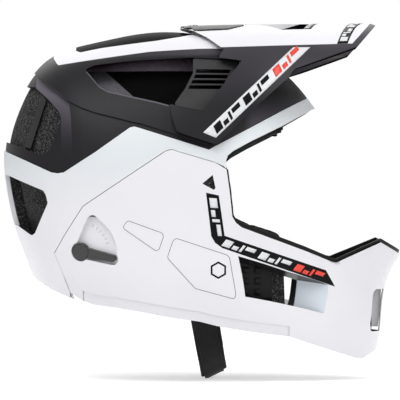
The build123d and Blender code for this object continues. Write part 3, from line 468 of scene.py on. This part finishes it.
dress(crown_paint, "upper_shell")
dress(visor_paint, "visor_shell")
dress(scoop_paint, "visor_scoop")
dress(shell_white, "lower_shell")
dress(cheek_white, "chin_bar_shell")
dress(liner_foam, "main_liner")
dress(bead_foam, "chin_bar_foam", *both("ear_foam", "cheek_foam"))
dress(bar_plastic, "rear_vent_bars")
dress(rubber, "brow_trim", *both("eye_port_trim"))
dress(grille_plastic, "mouth_grille")
dress(gloss_black, *both("lever"), "fit_dial")
dress(louver_plastic, *both("vent_louver"))
dress(dark_plastic, "strap_anchors", "fit_cradle", "buckle_body", "buckle_catch",
      *both("latch_post", "visor_bush", "fit_band", "strap_slider"))
dress(steel, *both("visor_screw", "lever_cam"))


# ---- making pieces
def new_piece(name, points, faces, paint, body, smooth=True):
    """Mesh piece that rides on a CAD body."""
    mesh = bpy.data.meshes.new(name)
    mesh.from_pydata([tuple(p) for p in points], [], faces)
    mesh.validate()
    mesh.materials.append(paint.material)
    mesh.polygons.foreach_set("use_smooth", [smooth] * len(mesh.polygons))
    piece = bpy.data.objects.new(name, mesh)
    bpy.context.scene.collection.objects.link(piece)
    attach(piece, body)
    return piece


trees = {}


def tree_of(node):
    """Search tree of a CAD node's faces."""
    if node not in trees:
        mesh = frame["nodes"][node].data
        points = [v.co.copy() for v in mesh.vertices]
        trees[node] = BVHTree.FromPolygons(points, [tuple(p.vertices) for p in mesh.polygons])
    return trees[node]


def cast(node, point, ray):
    """Where a ray from outside meets a CAD node, with the outward normal there."""
    ray = Vector(ray)
    hit, normal, _, _ = tree_of(node).ray_cast(Vector(point) - ray * CAST_START, ray)
    if hit is None:
        hit, normal, _, _ = tree_of(node).find_nearest(Vector(point))
    return hit, normal if normal.dot(ray) < 0 else -normal


def side_cast(node, x, z, side):
    return cast(node, (x, side * 0.15, z), (0, -side, 0))


def top_cast(node, x, y):
    return cast(node, (x, y, 0.2), (0, 0, -1))


def face_out(piece):
    """Turns the faces of a closed piece outward."""
    cells = bmesh.new()
    cells.from_mesh(piece.data)
    bmesh.ops.recalc_face_normals(cells, faces=cells.faces[:])
    cells.to_mesh(piece.data)
    cells.free()


def flat_cells(outline):
    """A flat outline cut along a grid, as points and faces that keep the outline exactly."""
    cells = bmesh.new()
    cells.faces.new([cells.verts.new((a, b, 0.0)) for a, b in outline])
    for axis in (0, 1):
        low = min(p[axis] for p in outline)
        high = max(p[axis] for p in outline)
        normal = Vector((1.0, 0.0, 0.0)) if axis == 0 else Vector((0.0, 1.0, 0.0))
        for step in range(1, int((high - low) / GRID) + 1):
            geometry = cells.verts[:] + cells.edges[:] + cells.faces[:]
            bmesh.ops.bisect_plane(
                cells, geom=geometry, plane_co=normal * (low + step * GRID), plane_no=normal
            )
    bmesh.ops.triangulate(cells, faces=cells.faces[:])
    cells.verts.index_update()
    points = [(v.co.x, v.co.y) for v in cells.verts]
    faces = [tuple(v.index for v in f.verts) for f in cells.faces]
    cells.free()
    return points, faces


def body_of(node):
    """Body that a CAD node belongs to."""
    bodies = frame["record"]["behaviour"]["bodies"]
    return next(body for body, nodes in bodies.items() if node in nodes)


def layered(name, patches, paint, node, side=None, lift=0.0, wall=STICKER_WALL):
    """Thin skin laid on a CAD node over flat outlines: side view ones, or plan view ones
    where no side is given. It is a closed sheet of the given wall."""
    points, faces = [], []
    for outline in patches:
        flat, cells = flat_cells(outline)
        low, high = [], []
        for a, b in flat:
            hit, normal = side_cast(node, a, b, side) if side else top_cast(node, a, b)
            low.append(hit + normal * lift)
            high.append(hit + normal * (lift + wall))
        start, count = len(points), len(flat)
        points += low + high
        edges = {}
        for face in cells:
            faces.append(tuple(start + count + i for i in face))
            faces.append(tuple(start + i for i in reversed(face)))
            for i, j in zip(face, face[1:] + face[:1]):
                edges[(i, j)] = True
        for i, j in edges:
            if (j, i) not in edges:
                faces.append((start + i, start + j, start + count + j, start + count + i))
    face_out(new_piece(name, points, faces, paint, body_of(node)))


def side_outline(shares):
    """Side view shares as (x, z) in metres."""
    return [(x * LENGTH, z * HEIGHT) for x, z in shares]


def slanted_bars(start, end, width, groups, slant=0.35):
    """Groups of slanted bars along a line of the side view. A group is (from, to, bars) in
    shares of the line, a bar (from, to, low, high) in shares of its group and of the width."""
    start, end = Vector(side_outline([start])[0]), Vector(side_outline([end])[0])
    along = end - start
    across = Vector((-along.y, along.x)).normalized() * width
    lean = along.normalized() * width * slant
    bars = []
    for first, last, parts in groups:
        for a, b, low, high in parts:
            corners = []
            for share, level in ((a, low), (b, low), (b, high), (a, high)):
                run = first + (last - first) * share
                corners.append(start + along * run + (across + lean) * (level - 0.5))
            bars.append([(p.x, p.y) for p in corners])
    return bars


def rounded(points, radius, steps=5):
    """A closed outline with its corners rounded."""
    path = []
    count = len(points)
    for i in range(count):
        before, corner, after = (Vector(points[(i + d) % count]) for d in (-1, 0, 1))
        cut = min(radius, (before - corner).length / 2, (after - corner).length / 2)
        a = corner + (before - corner).normalized() * cut
        b = corner + (after - corner).normalized() * cut
        path += [tuple(a.lerp(corner, t).lerp(corner.lerp(b, t), t)) for t in
                 (s / steps for s in range(steps + 1))]
    return path


def outline_ribbon(name, points, width, paint, node, side):
    """A thin closed line laid on a CAD node along a side view outline."""
    dense = []
    for a, b in zip(points, points[1:] + points[:1]):
        a, b = Vector(a), Vector(b)
        pieces = max(1, round((b - a).length / GRID))
        dense += [a.lerp(b, step / pieces) for step in range(pieces)]
    rings = []
    for i, point in enumerate(dense):
        run = (dense[(i + 1) % len(dense)] - dense[i - 1]).normalized()
        across = Vector((-run.y, run.x)) * width / 2
        row = []
        for offset, lift in ((across, 0.00001), (across, STICKER_WALL), (-across, STICKER_WALL),
                             (-across, 0.00001)):
            p = point + offset
            hit, normal = side_cast(node, p.x, p.y, side)
            row.append(hit + normal * lift)
        rings.append(row)
    tube_of(name, rings, paint, body_of(node), closed=True)


def tube_of(name, rings, paint, body, closed=False, smooth=True):
    """Closed mesh through rings of points, capped at its ends unless it closes on itself."""
    around = len(rings[0])
    points = [p for ring in rings for p in ring]
    faces = []
    for i in range(len(rings) if closed else len(rings) - 1):
        here, there = i * around, (i + 1) % len(rings) * around
        for j in range(around):
            k = (j + 1) % around
            faces.append((here + j, here + k, there + k, there + j))
    if not closed:
        faces.append(tuple(range(around))[::-1])
        last = (len(rings) - 1) * around
        faces.append(tuple(last + j for j in range(around)))
    piece = new_piece(name, points, faces, paint, body, smooth)
    face_out(piece)
    return piece


def turned(name, profile, centre, axis, paint, body, sides=24):
    """Turned piece from (radius, height) points along an axis."""
    frame_of = Vector(axis).to_track_quat("Z", "Y").to_matrix()
    rings = []
    for radius, height in profile:
        ring = []
        for step in range(sides):
            turn = 2 * math.pi * step / sides
            local = Vector((radius * math.cos(turn), radius * math.sin(turn), height))
            ring.append(Vector(centre) + frame_of @ local)
        rings.append(ring)
    tube_of(name, rings, paint, body)


# ---- printed decoration
BLOCKS = [(0.0, 0.26, 0.0, 1.0), (0.32, 0.50, 0.0, 0.55), (0.56, 0.64, 0.0, 1.0),
          (0.70, 1.0, 0.45, 1.0)]
VISOR_STICKER = [(0.134, 0.224), (0.165, 0.209), (0.398, 0.476), (0.356, 0.476)]
CHEEK_STICKER = [(0.141, 0.051), (0.172, 0.043), (0.186, -0.073), (0.436, -0.175),
                 (0.459, -0.223), (0.180, -0.108), (0.163, -0.093), (0.154, -0.075)]
PANEL_LINES = (
    [(-0.049, -0.029), (0.035, -0.065), (0.038, -0.075), (0.027, -0.113), (0.019, -0.116),
     (-0.058, -0.053), (-0.059, -0.046)],
    [(0.069, -0.080), (0.191, -0.128), (0.198, -0.135), (0.214, -0.244), (0.210, -0.256),
     (0.115, -0.225), (0.049, -0.139), (0.048, -0.132), (0.061, -0.087)],
)
VISOR_RUN = ((0.151, 0.2175), (0.389, 0.491))
CHEEK_RUN = ((0.176, -0.089), (0.442, -0.198))
UPRIGHT_RUN = ((0.157, 0.040), (0.171, -0.078))
VISOR_BAR = 0.0072
CHEEK_BAR = 0.0066
PANEL_LINE = 0.00045


def visor_print(side_name, side):
    """Pale band on the visor's side, with groups of bars on it."""
    layered(f"visor_sticker_{side_name}", [side_outline(VISOR_STICKER)], white_ink,
            "visor_shell", side)
    for tone, ink, groups in (("black", black_ink, [(0.05, 0.31, BLOCKS), (0.35, 0.61, BLOCKS)]),
                              ("red", red_ink, [(0.66, 0.92, BLOCKS)])):
        layered(f"visor_bars_{tone}_{side_name}", slanted_bars(*VISOR_RUN, VISOR_BAR, groups), ink,
                "visor_shell", side, STICKER_WALL)


def cheek_print(side_name, side):
    """Black band round the corner of the eye port with groups of bars on it, and fine lines
    round the chin bar's panels."""
    layered(f"cheek_sticker_{side_name}", [side_outline(CHEEK_STICKER)], black_ink,
            "chin_bar_shell", side)
    white = slanted_bars(*UPRIGHT_RUN, CHEEK_BAR, [(0.04, 0.96, BLOCKS)], 0.2)
    white += slanted_bars(*CHEEK_RUN, CHEEK_BAR, [(0.03, 0.31, BLOCKS), (0.36, 0.64, BLOCKS)])
    red = slanted_bars(*CHEEK_RUN, CHEEK_BAR, [(0.69, 0.95, BLOCKS)])
    for tone, ink, bars in (("white", white_ink, white), ("red", red_ink, red)):
        layered(f"cheek_bars_{tone}_{side_name}", bars, ink, "chin_bar_shell", side, STICKER_WALL)
    for index, shares in enumerate(PANEL_LINES):
        outline_ribbon(f"panel_line_{index}_{side_name}", rounded(side_outline(shares), 0.002),
                       PANEL_LINE, line_ink, "chin_bar_shell", side)


for side_name, side in SIDES:
    visor_print(side_name, side)
    cheek_print(side_name, side)


def panel_mark(side_name, side):
    """Outline of a hexagon printed on the chin bar, in equal patches."""
    centre, outer, inner, sides = place((0.171, -0.172)), 0.0078, 0.0060, 6
    patches = []
    for step in range(sides):
        corners = []
        for radius, turn in ((inner, step), (outer, step), (outer, step + 1), (inner, step + 1)):
            angle = 2 * math.pi * (turn + 0.5) / sides
            corners.append((centre.x + radius * math.cos(angle),
                            centre.z + radius * math.sin(angle)))
        patches.append(corners)
    layered(f"panel_mark_{side_name}", patches, black_ink, "chin_bar_shell", side)


def lever_scale(side_name, side):
    """Faint ticks in the lever's recess, along the arc of its tip."""
    boss = place((-0.166, -0.120))
    ticks = []
    for degree in (18, 27, 36, 45, 54, 63):
        turn = math.radians(degree)
        along = Vector((math.cos(turn), math.sin(turn)))
        across = Vector((-along.y, along.x)) * 0.00035
        a, b = (Vector((boss.x, boss.z)) + along * radius for radius in (0.0245, 0.0275))
        ticks.append([tuple(p) for p in (a - across, b - across, b + across, a + across)])
    layered(f"lever_scale_{side_name}", ticks, faint_ink, "chin_bar_shell", side)


for side_name, side in SIDES:
    panel_mark(side_name, side)
    lever_scale(side_name, side)


# ---- pads
VOXEL = 0.0028
SHRINK = 0.0007
PUFF_CAP = 0.0009
PUFF_STEPS = 14
PIPING_RADIUS = 0.0011


def apply(piece):
    """Puts a piece's modifiers into its mesh."""
    graph = bpy.context.evaluated_depsgraph_get()
    mesh = bpy.data.meshes.new_from_object(piece.evaluated_get(graph))
    piece.modifiers.clear()
    piece.data = mesh


def coords(mesh):
    """Points of a mesh as rows."""
    values = np.zeros(len(mesh.vertices) * 3)
    mesh.vertices.foreach_get("co", values)
    return values.reshape(-1, 3)


def puffed(piece):
    """Blows the cover up a little with cloth simulation, and no further than the cap."""
    start = coords(piece.data)
    cloth = piece.modifiers.new("cover", "CLOTH")
    cloth.settings.use_pressure = True
    cloth.settings.uniform_pressure_force = 4.0
    cloth.settings.effector_weights.gravity = 0.0
    for step in range(1, PUFF_STEPS + 1):
        bpy.context.scene.frame_set(step)
    apply(piece)
    bpy.context.scene.frame_set(1)
    moved = coords(piece.data) - start
    reach = np.linalg.norm(moved, axis=1, keepdims=True)
    moved *= np.minimum(1.0, PUFF_CAP / np.maximum(reach, 1e-9))
    piece.data.vertices.foreach_set("co", (start + moved).ravel())
    piece.data.update()


def quilted(piece, channels, depth=0.0016, half_width=0.0035):
    """Presses sewn channels into a pad, where planes (point, direction) cross it."""
    points = coords(piece.data)
    normals = np.zeros(len(points) * 3)
    piece.data.vertices.foreach_get("normal", normals)
    sink = np.zeros(len(points))
    for point, direction in channels:
        away = np.abs((points - np.array(point)) @ np.array(Vector(direction).normalized()))
        near = np.clip(1.0 - away / half_width, 0.0, 1.0)
        sink = np.maximum(sink, depth * near ** 1.5)
    points -= normals.reshape(-1, 3) * sink[:, None]
    piece.data.vertices.foreach_set("co", points.ravel())
    piece.data.update()


def piping(name, pad, body):
    """Cord sewn round the rim of a flat pad."""
    points = coords(pad.data)
    centre = points.mean(axis=0)
    normal = Vector(np.linalg.svd(points - centre, full_matrices=False)[2][2])
    cut = bmesh.new()
    cut.from_mesh(pad.data)
    geometry = cut.verts[:] + cut.edges[:] + cut.faces[:]
    found = bmesh.ops.bisect_plane(cut, geom=geometry, plane_co=Vector(centre), plane_no=normal)
    edges = {e for e in found["geom_cut"] if isinstance(e, bmesh.types.BMEdge)}
    vert = next(iter(sorted(edges, key=lambda e: e.index))).verts[0]
    line, used = [vert.co.copy()], set()
    while True:
        step = next((e for e in vert.link_edges if e in edges and e not in used), None)
        if step is None:
            break
        used.add(step)
        vert = step.other_vert(vert)
        line.append(vert.co.copy())
    cut.free()
    line = line[:-1]
    count = len(line)
    for _ in range(4):
        line = [(line[i - 1] + line[i] * 2 + line[(i + 1) % count]) / 4 for i in range(count)]
    line = line[::2]
    rings = []
    for i, point in enumerate(line):
        run = (line[(i + 1) % len(line)] - line[i - 1]).normalized()
        out = run.cross(normal)
        rings.append([point + (out * math.cos(a) + normal * math.sin(a)) * PIPING_RADIUS
                      for a in (2 * math.pi * s / 8 for s in range(8))])
    tube_of(name, rings, piping_fabric, body, closed=True)


def soft_pad(node, channels, rim=False):
    """Padded cover that stands for a CAD pad: swollen a little, with its sewn channels."""
    pad = bpy.data.objects.new(f"{node}_cover", frame["nodes"][node].data.copy())
    bpy.context.scene.collection.objects.link(pad)
    weld = bmesh.new()
    weld.from_mesh(pad.data)
    bmesh.ops.remove_doubles(weld, verts=weld.verts[:], dist=1e-6)
    weld.to_mesh(pad.data)
    weld.free()
    remesh = pad.modifiers.new("even", "REMESH")
    remesh.mode = "VOXEL"
    remesh.voxel_size = VOXEL
    shrink = pad.modifiers.new("shrink", "DISPLACE")
    shrink.strength = -SHRINK
    shrink.mid_level = 0.0
    relax = pad.modifiers.new("relax", "SMOOTH")
    relax.iterations = 3
    apply(pad)
    puffed(pad)
    divide = pad.modifiers.new("finer", "SUBSURF")
    divide.levels = divide.render_levels = 1
    apply(pad)
    quilted(pad, channels)
    pad.data.materials.clear()
    pad.data.materials.append(pad_fabric.material)
    pad.data.polygons.foreach_set("use_smooth", [True] * len(pad.data.polygons))
    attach(pad, body_of(node))
    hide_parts(node)
    if rim:
        piping(f"{node}_piping", pad, body_of(node))


def middle(node):
    """Centre of a CAD node's box."""
    low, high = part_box(node)
    return (low + high) / 2


for side_name, side in SIDES:
    centre = middle(f"cheek_pad_{side_name}")
    lines = [(centre + Vector((shift, 0, 0)), (1.0, 0.0, 0.35)) for shift in (-0.022, 0.004, 0.030)]
    soft_pad(f"cheek_pad_{side_name}", lines, True)
    centre = middle(f"side_pad_{side_name}")
    soft_pad(f"side_pad_{side_name}", [(centre, (1.0, 0.0, 0.0))], True)
for node, spread in (("brow_pad", 0.026), ("crown_pad", 0.010), ("nape_pad", 0.016)):
    lines = [((0.0, y, 0.0), (0.0, 1.0, 0.0)) for y in (-spread, spread)]
    soft_pad(node, lines)


# ---- straps
WEB_WALL = 0.0018
SLEEVE_WALL = 0.004
WEB_CREASE = math.radians(60)
STRAP_LEAN = math.radians(10)
STRAP_TWIST = math.radians(16)
STRAP_TOP = place((0.112, -0.147))
WEB_PROFILE = [(-0.5, 0.0), (-0.492, 0.4), (-0.455, 0.5), (-0.40, 0.36), (-0.2, 0.34),
               (0.0, 0.34), (0.2, 0.34), (0.40, 0.36), (0.455, 0.5), (0.492, 0.4)]
SLEEVE_PROFILE = [(-0.5, 0.0), (-0.48, 0.26), (-0.42, 0.34), (-0.36, 0.42), (-0.18, 0.49),
                  (0.0, 0.5), (0.18, 0.49), (0.36, 0.42), (0.42, 0.34), (0.48, 0.26)]
WEB = (0.019, WEB_WALL, WEB_PROFILE)
SLEEVE = (0.025, SLEEVE_WALL, SLEEVE_PROFILE)


def bent_path(points, radius):
    """A path through points with rounded corners, in short even steps."""
    path = [points[0]]
    for before, corner, after in zip(points, points[1:], points[2:]):
        a, b = (before - corner).normalized(), (after - corner).normalized()
        half_turn = (math.pi - a.angle(b)) / 2
        cut = min(radius * math.tan(half_turn), (before - corner).length / 2,
                  (after - corner).length / 2)
        a, b = corner + a * cut, corner + b * cut
        path += [a.lerp(corner, t).lerp(corner.lerp(b, t), t) for t in (s / 6 for s in range(7))]
    path.append(points[-1])
    dense = [path[0]]
    for a, b in zip(path, path[1:]):
        count = max(1, math.ceil((b - a).length / GRID))
        dense += [a.lerp(b, step / count) for step in range(1, count + 1)]
    return [p for i, p in enumerate(dense) if i == 0 or (p - dense[i - 1]).length > 1e-5]


def ribbon(name, path, across_at, section, node):
    """Strap of a (width, wall, profile) along a path, for a CAD node. Its own coordinates run
    along and across it, in metres."""
    width, wall, profile = section
    outline = profile + [(0.5, 0.0)] + [(u, -v) for u, v in reversed(profile[1:])]
    rings, runs, run = [], [], 0.0
    for i, point in enumerate(path):
        if i:
            run += (point - path[i - 1]).length
        runs.append(run)
        along = (path[min(i + 1, len(path) - 1)] - path[max(i - 1, 0)]).normalized()
        across = across_at(point)
        across = (across - along * across.dot(along)).normalized()
        out = across.cross(along)
        rings.append([point + across * u * width + out * v * wall for u, v in outline])
    strap = tube_of(name, rings, webbing, "helmet")
    layer = strap.data.uv_layers.new(name="along")
    around = len(outline)
    for loop in strap.data.loops:
        ring, slot = divmod(loop.vertex_index, around)
        layer.data[loop.index].uv = (runs[ring], outline[slot][0] * width)
    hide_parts(node)
    strap.data.set_sharp_from_angle(angle=WEB_CREASE)
    return strap


STITCH_LENGTH = 0.0022
STITCH_GAP = 0.0012
STITCH_HALF_WIDTH = 0.0003
STITCH_RISE = 0.00025


def stitches(name, path, offset, rise):
    """A row of stitches beside a path, standing a little above the cloth on both faces."""
    points, faces, run, last = [], [], 0.0, 0.0
    for before, point, after in zip(path, path[1:], path[2:]):
        run += (point - before).length
        if run - last < STITCH_LENGTH + STITCH_GAP:
            continue
        last = run
        along = (after - before).normalized()
        across = loop_across(point)
        across = (across - along * across.dot(along)).normalized()
        out = across.cross(along)
        for face in (1, -1):
            middle_of = point + across * offset + out * rise * face
            start = len(points)
            for a, b, c in ((-1, -1, 0), (1, -1, 0), (1, 1, 0), (-1, 1, 0), (0, 0, 1)):
                points.append(middle_of + along * a * STITCH_LENGTH / 2
                              + across * b * STITCH_HALF_WIDTH + out * face * c * STITCH_RISE)
            faces += [tuple(start + i for i in f) for f in
                      ((0, 1, 4), (1, 2, 4), (2, 3, 4), (3, 0, 4), (3, 2, 1, 0))]
    new_piece(name, points, faces, thread, "helmet", smooth=False)


def end_centre(node, axis, high):
    """Middle of a CAD run's end face, at its lowest or highest place along an axis."""
    points = coords(frame["nodes"][node].data)
    edge = points[:, axis].max() if high else points[:, axis].min()
    return Vector(points[np.abs(points[:, axis] - edge) < 0.0004].mean(axis=0))


def loop_place(share):
    """Point of the chin strap's plane, from its width and height shares."""
    drop = share[1] * HEIGHT
    return STRAP_TOP + Vector((-math.sin(STRAP_LEAN) * drop, share[0] * HALF_WIDTH,
                               math.cos(STRAP_LEAN) * drop))


def loop_across(point):
    """Across direction of the chin strap: it twists a little towards its lowest stretch."""
    depth = min(1.0, max(0.0, (-0.085 - point.z) / 0.05))
    turn = STRAP_LEAN + STRAP_TWIST * depth
    return Vector((math.cos(turn), 0.0, math.sin(turn)))


for side_name, side in SIDES:
    for part, axis in (("front", 2), ("rear", 0)):
        node = f"strap_{part}_{side_name}"
        top, low = end_centre(node, axis, axis == 2), end_centre(node, axis, axis == 0)
        branch = [top.lerp(low, step / 12) for step in range(13)]
        wide = Vector((1, 0, 0)) if part == "front" else Vector((0, 0, 1))
        ribbon(f"{node}_web", branch, lambda p, w=wide: w, WEB, node)

LOOP = [(-0.500, -0.050), (-0.460, -0.150), (-0.350, -0.285), (-0.120, -0.350)]
BUCKLE = [(0.455, -0.170), (0.350, -0.272), (0.320, -0.302)]
LEFT_END = [(0.500, -0.050), (0.460, -0.085), BUCKLE[0]]
SLEEVE_SHIFT = 0.0032
right_shares = [*LOOP, (0.120, -0.350), BUCKLE[2], BUCKLE[1]]
right_path = bent_path([loop_place(s) for s in right_shares], 0.034)
left_path = bent_path([loop_place(s) for s in LEFT_END], 0.030)
sleeve_shift = Vector((-math.sin(STRAP_LEAN), 1.0, math.cos(STRAP_LEAN))) * SLEEVE_SHIFT
sleeve_path = bent_path([loop_place(s) + sleeve_shift for s in LOOP[1:]], 0.034)
for node, path in (("chin_strap_right", right_path), ("chin_strap_left", left_path)):
    ribbon(f"{node}_web", path, loop_across, WEB, node)
sleeve = ribbon("chin_sleeve_cover", sleeve_path, loop_across, SLEEVE, "chin_sleeve")
for part, path, offset, rise in (("sleeve", sleeve_path, 0.0102, SLEEVE_WALL * 0.36),
                                 ("strap", right_path, 0.0072, WEB_WALL * 0.38)):
    for index, face in enumerate((-1, 1)):
        stitches(f"{part}_stitches_{index}", path, face * offset, rise)


# ---- small parts
def embossed_blocks():
    """Cover of the foam block in each window, with rows of raised squares."""
    cover = [(0.200, -0.105), (0.3015, -0.155), (0.3015, -0.262), (0.200, -0.262)]
    across, up = 0.008, 0.0095
    corners = ((-across, -up), (across, -up), (across, up), (-across, up))
    squares = []
    for column in (0.2375, 0.2665):
        for row in (-0.142, -0.1735, -0.205, -0.2365):
            square = side_outline([(column + a, row + b) for a, b in corners])
            squares.append(rounded(square, 0.0012, 3))
    for side_name, side in SIDES:
        node = f"cheek_foam_{side_name}"
        layered(f"window_cover_{side_name}", [side_outline(cover)], rubber, node, side,
                wall=SKIN_WALL)
        layered(f"window_squares_{side_name}", squares, rubber, node, side, SKIN_WALL, 0.0007)


def roof_plate():
    """Plate and bolt at the back of the visor's roof."""
    plate = [(0.0285, -0.026), (0.0285, 0.026), (0.0450, 0.032), (0.0720, 0.032), (0.0860, 0.020),
             (0.0860, -0.020), (0.0720, -0.032), (0.0450, -0.032)]
    layered("roof_plate", [rounded(plate, 0.003)], dark_plastic, "visor_shell", wall=PLATE_WALL)
    top, normal = top_cast("visor_shell", 0.0395, 0.0)
    profile = [(0.0, 0.0001), (0.0018, 0.0001), (0.0021, 0.0008), (0.0042, 0.0008),
               (0.0048, 0.0004), (0.0048, -0.0004)]
    turned("roof_bolt", profile, top + normal * PLATE_WALL, normal, steel, "visor")


def roof_print(name, outlines, side_name, side, ink, lift=0.0):
    """Print on the visor's roof, from plan view outlines of one half."""
    patches = [[(x, side * y) for x, y in outline] for outline in outlines]
    layered(f"{name}_{side_name}", patches, ink, "visor_shell", lift=lift)


def roof_band_bars(outer, inner):
    """Two groups of bars on the band along the front of the roof, as plan view outlines."""
    bars = []
    for first, last in ((0.05, 0.42), (0.50, 0.87)):
        for a, b, low, high in BLOCKS:
            corners = []
            for share, level in ((a, low), (b, low), (b, high), (a, high)):
                t = first + (last - first) * share
                x = 0.1706 + 0.0178 * t + 0.0066 * level
                corners.append((x, outer * (1 - t) + inner * t))
            bars.append(corners)
    return bars


def scoop_hatch(count, outer, length, half_width):
    """A row of short bars along the front of the roof's opening, as plan view outlines."""
    hatch = []
    for step in range(count):
        t = (step + 0.5) / count
        x, y = 0.1411 + 0.0095 * t, outer * (1 - t)
        hatch.append([(x, y - half_width), (x + length, y - half_width),
                      (x + length, y + half_width), (x, y + half_width)])
    return hatch


def roof_prints():
    """Bands along the front of the roof and of its opening, with bars on them."""
    outer, inner = 0.0690, 0.0004
    band = [(0.1690, outer), (0.1786, outer), (0.1976, inner), (0.1870, inner)]
    ground = [(0.1405, 0.0385), (0.1468, 0.0385), (0.1563, inner), (0.1500, inner)]
    for sides in SIDES:
        roof_print("roof_band", [band], *sides, black_ink)
        roof_print("roof_bars", roof_band_bars(outer, inner), *sides, white_ink, STICKER_WALL)
        roof_print("scoop_ground", [ground], *sides, black_ink)
        roof_print("scoop_hatch", scoop_hatch(9, 0.0370, 0.0034, 0.0009), *sides, white_ink,
                   STICKER_WALL)


def brow_nubs():
    """Small pegs under the sides of the brow, for the strap of the goggles."""
    profile = [(0.0012, 0.0), (0.0012, 0.0030), (0.0023, 0.0036), (0.0026, 0.0048),
               (0.0017, 0.0058), (0.0, 0.0060)]
    for side_name, side in SIDES:
        hit, _ = side_cast("lower_shell", 0.1165, 0.0765, side)
        seat = hit + Vector((0.0, -side * 0.0035, -0.0015))
        turned(f"brow_nub_{side_name}", profile, seat, (0, 0, -1), rubber, "helmet", 16)


def mouth_fin():
    """White wall in the middle of the mouth, from the chin's skin to its front rib."""
    half_wall = 0.0015
    outline = [(0.1975, -0.0655), (0.2125, -0.0680), (0.2118, -0.0900), (0.2095, -0.1070),
               (0.1925, -0.1070), (0.1940, -0.0780)]
    rings = [[Vector((x, y, z)) for x, z in outline] for y in (-half_wall, half_wall)]
    tube_of("mouth_fin", rings, cheek_white, "chin_bar", smooth=False)


def port_edge(z, side, pace=0.00025):
    """Point of the chin bar's skin at the upright rear edge of the eye port, at a height."""
    shell = tree_of("chin_bar_shell")
    x, skin = 0.060, None
    while True:
        hit = shell.ray_cast(Vector((x, side * CAST_START, z)), Vector((0.0, -side, 0.0)))[0]
        if hit is None or abs(hit.y) < 0.07:
            return Vector((x, skin.y, z))
        x, skin = x + pace, hit


def port_lips():
    """Rubber lip just inside the upright rear edge of the eye port."""
    top, drop, steps = 0.0420, 0.0475, 24
    section = ((-0.0012, 0.0014), (0.0013, 0.0014), (0.0013, 0.0040), (-0.0012, 0.0040))
    for side_name, side in SIDES:
        rings = []
        for step in range(steps + 1):
            edge = port_edge(top - drop * step / steps, side)
            rings.append([edge + Vector((shift, -side * depth, 0.0)) for shift, depth in section])
        tube_of(f"port_lip_{side_name}", rings, rubber, "chin_bar", smooth=False)


embossed_blocks()
roof_plate()
roof_prints()
brow_nubs()
mouth_fin()
port_lips()


# ---- stage, lights and camera
FLOOR_GAP = 0.0006
FLOOR_REACH = 9
LIT_POINT = Vector((0.03, 0, 0.02))
VIEW_DISTANCE = 2.8
VIEW_WIDTH = 0.368
SENSOR = 36


def plain_stage():
    """Pale floor that fades into white far out, and keeps a soft shadow."""
    paint = Paint("stage_white", Roughness=0.9)
    distance = paint.add("VectorMath", {0: paint.where}, operation="LENGTH").outputs["Value"]
    far = paint.ramp(distance, 0.5, 1.2)
    paint.paint(paint.mix(far, (0.93, 0.93, 0.94), (0.0, 0.0, 0.0)))
    light = paint.add("LightPath")
    seen = paint.maths("MAXIMUM", light.outputs["Is Camera Ray"], light.outputs["Is Glossy Ray"])
    glow = paint.plus(0.5, far, 0.5)
    paint.feed(paint.shader, {"Emission Color": (1.0, 1.0, 1.0, 1.0),
                              "Emission Strength": paint.product(seen, glow)})
    level = cad_box[0].z - FLOOR_GAP
    corners = [(a * FLOOR_REACH, b * FLOOR_REACH, level)
               for a, b in ((-1, -1), (1, -1), (1, 1), (-1, 1))]
    mesh = bpy.data.meshes.new("floor")
    mesh.from_pydata(corners, [], [(0, 1, 2, 3)])
    mesh.materials.append(paint.material)
    floor = bpy.data.objects.new("floor", mesh)
    bpy.context.scene.collection.objects.link(floor)


def plain_world():
    """White to the camera, and a dimmer white as the light from all sides."""
    world = bpy.data.worlds.new("studio")
    bpy.context.scene.world = world
    world.use_nodes = True
    nodes, links = world.node_tree.nodes, world.node_tree.links
    light = nodes.new("ShaderNodeLightPath")
    seen = nodes.new("ShaderNodeMath")
    seen.operation = "MAXIMUM"
    links.new(light.outputs["Is Camera Ray"], seen.inputs[0])
    links.new(light.outputs["Is Transmission Ray"], seen.inputs[1])
    strength = nodes.new("ShaderNodeMapRange")
    strength.inputs["To Min"].default_value = 0.55
    strength.inputs["To Max"].default_value = 1.0
    links.new(seen.outputs[0], strength.inputs["Value"])
    background = nodes["Background"]
    background.inputs["Color"].default_value = (1.0, 1.0, 1.0, 1.0)
    links.new(strength.outputs[0], background.inputs["Strength"])


def softbox(name, spot, size, power):
    """Soft lamp aimed at the helmet."""
    lamp = bpy.data.lights.new(name, "AREA")
    lamp.shape = "RECTANGLE"
    lamp.size, lamp.size_y = size
    lamp.energy = power
    holder = bpy.data.objects.new(name, lamp)
    holder.location = spot
    aim = LIT_POINT - Vector(spot)
    holder.rotation_euler = aim.to_track_quat("-Z", "Y").to_euler()
    bpy.context.scene.collection.objects.link(holder)


plain_stage()
plain_world()
softbox("key", (-0.6, -1.5, 1.9), (1.6, 1.2), 29.0)
softbox("fill", (1.7, -1.3, 0.7), (1.2, 1.2), 9.0)
softbox("back", (-0.4, 1.8, 1.4), (1.8, 1.2), 14.0)

camera = bpy.data.objects.new("camera", bpy.data.cameras.new("camera"))
camera.location = (0.046, -VIEW_DISTANCE, 0.0092)
camera.rotation_euler = (math.pi / 2, 0, 0)
camera.data.sensor_width = SENSOR
camera.data.lens = SENSOR * VIEW_DISTANCE / VIEW_WIDTH
camera.data.clip_start = 0.1
camera.data.clip_end = 50
bpy.context.scene.collection.objects.link(camera)
bpy.context.scene.camera = camera
bpy.context.scene.view_settings.view_transform = "Standard"
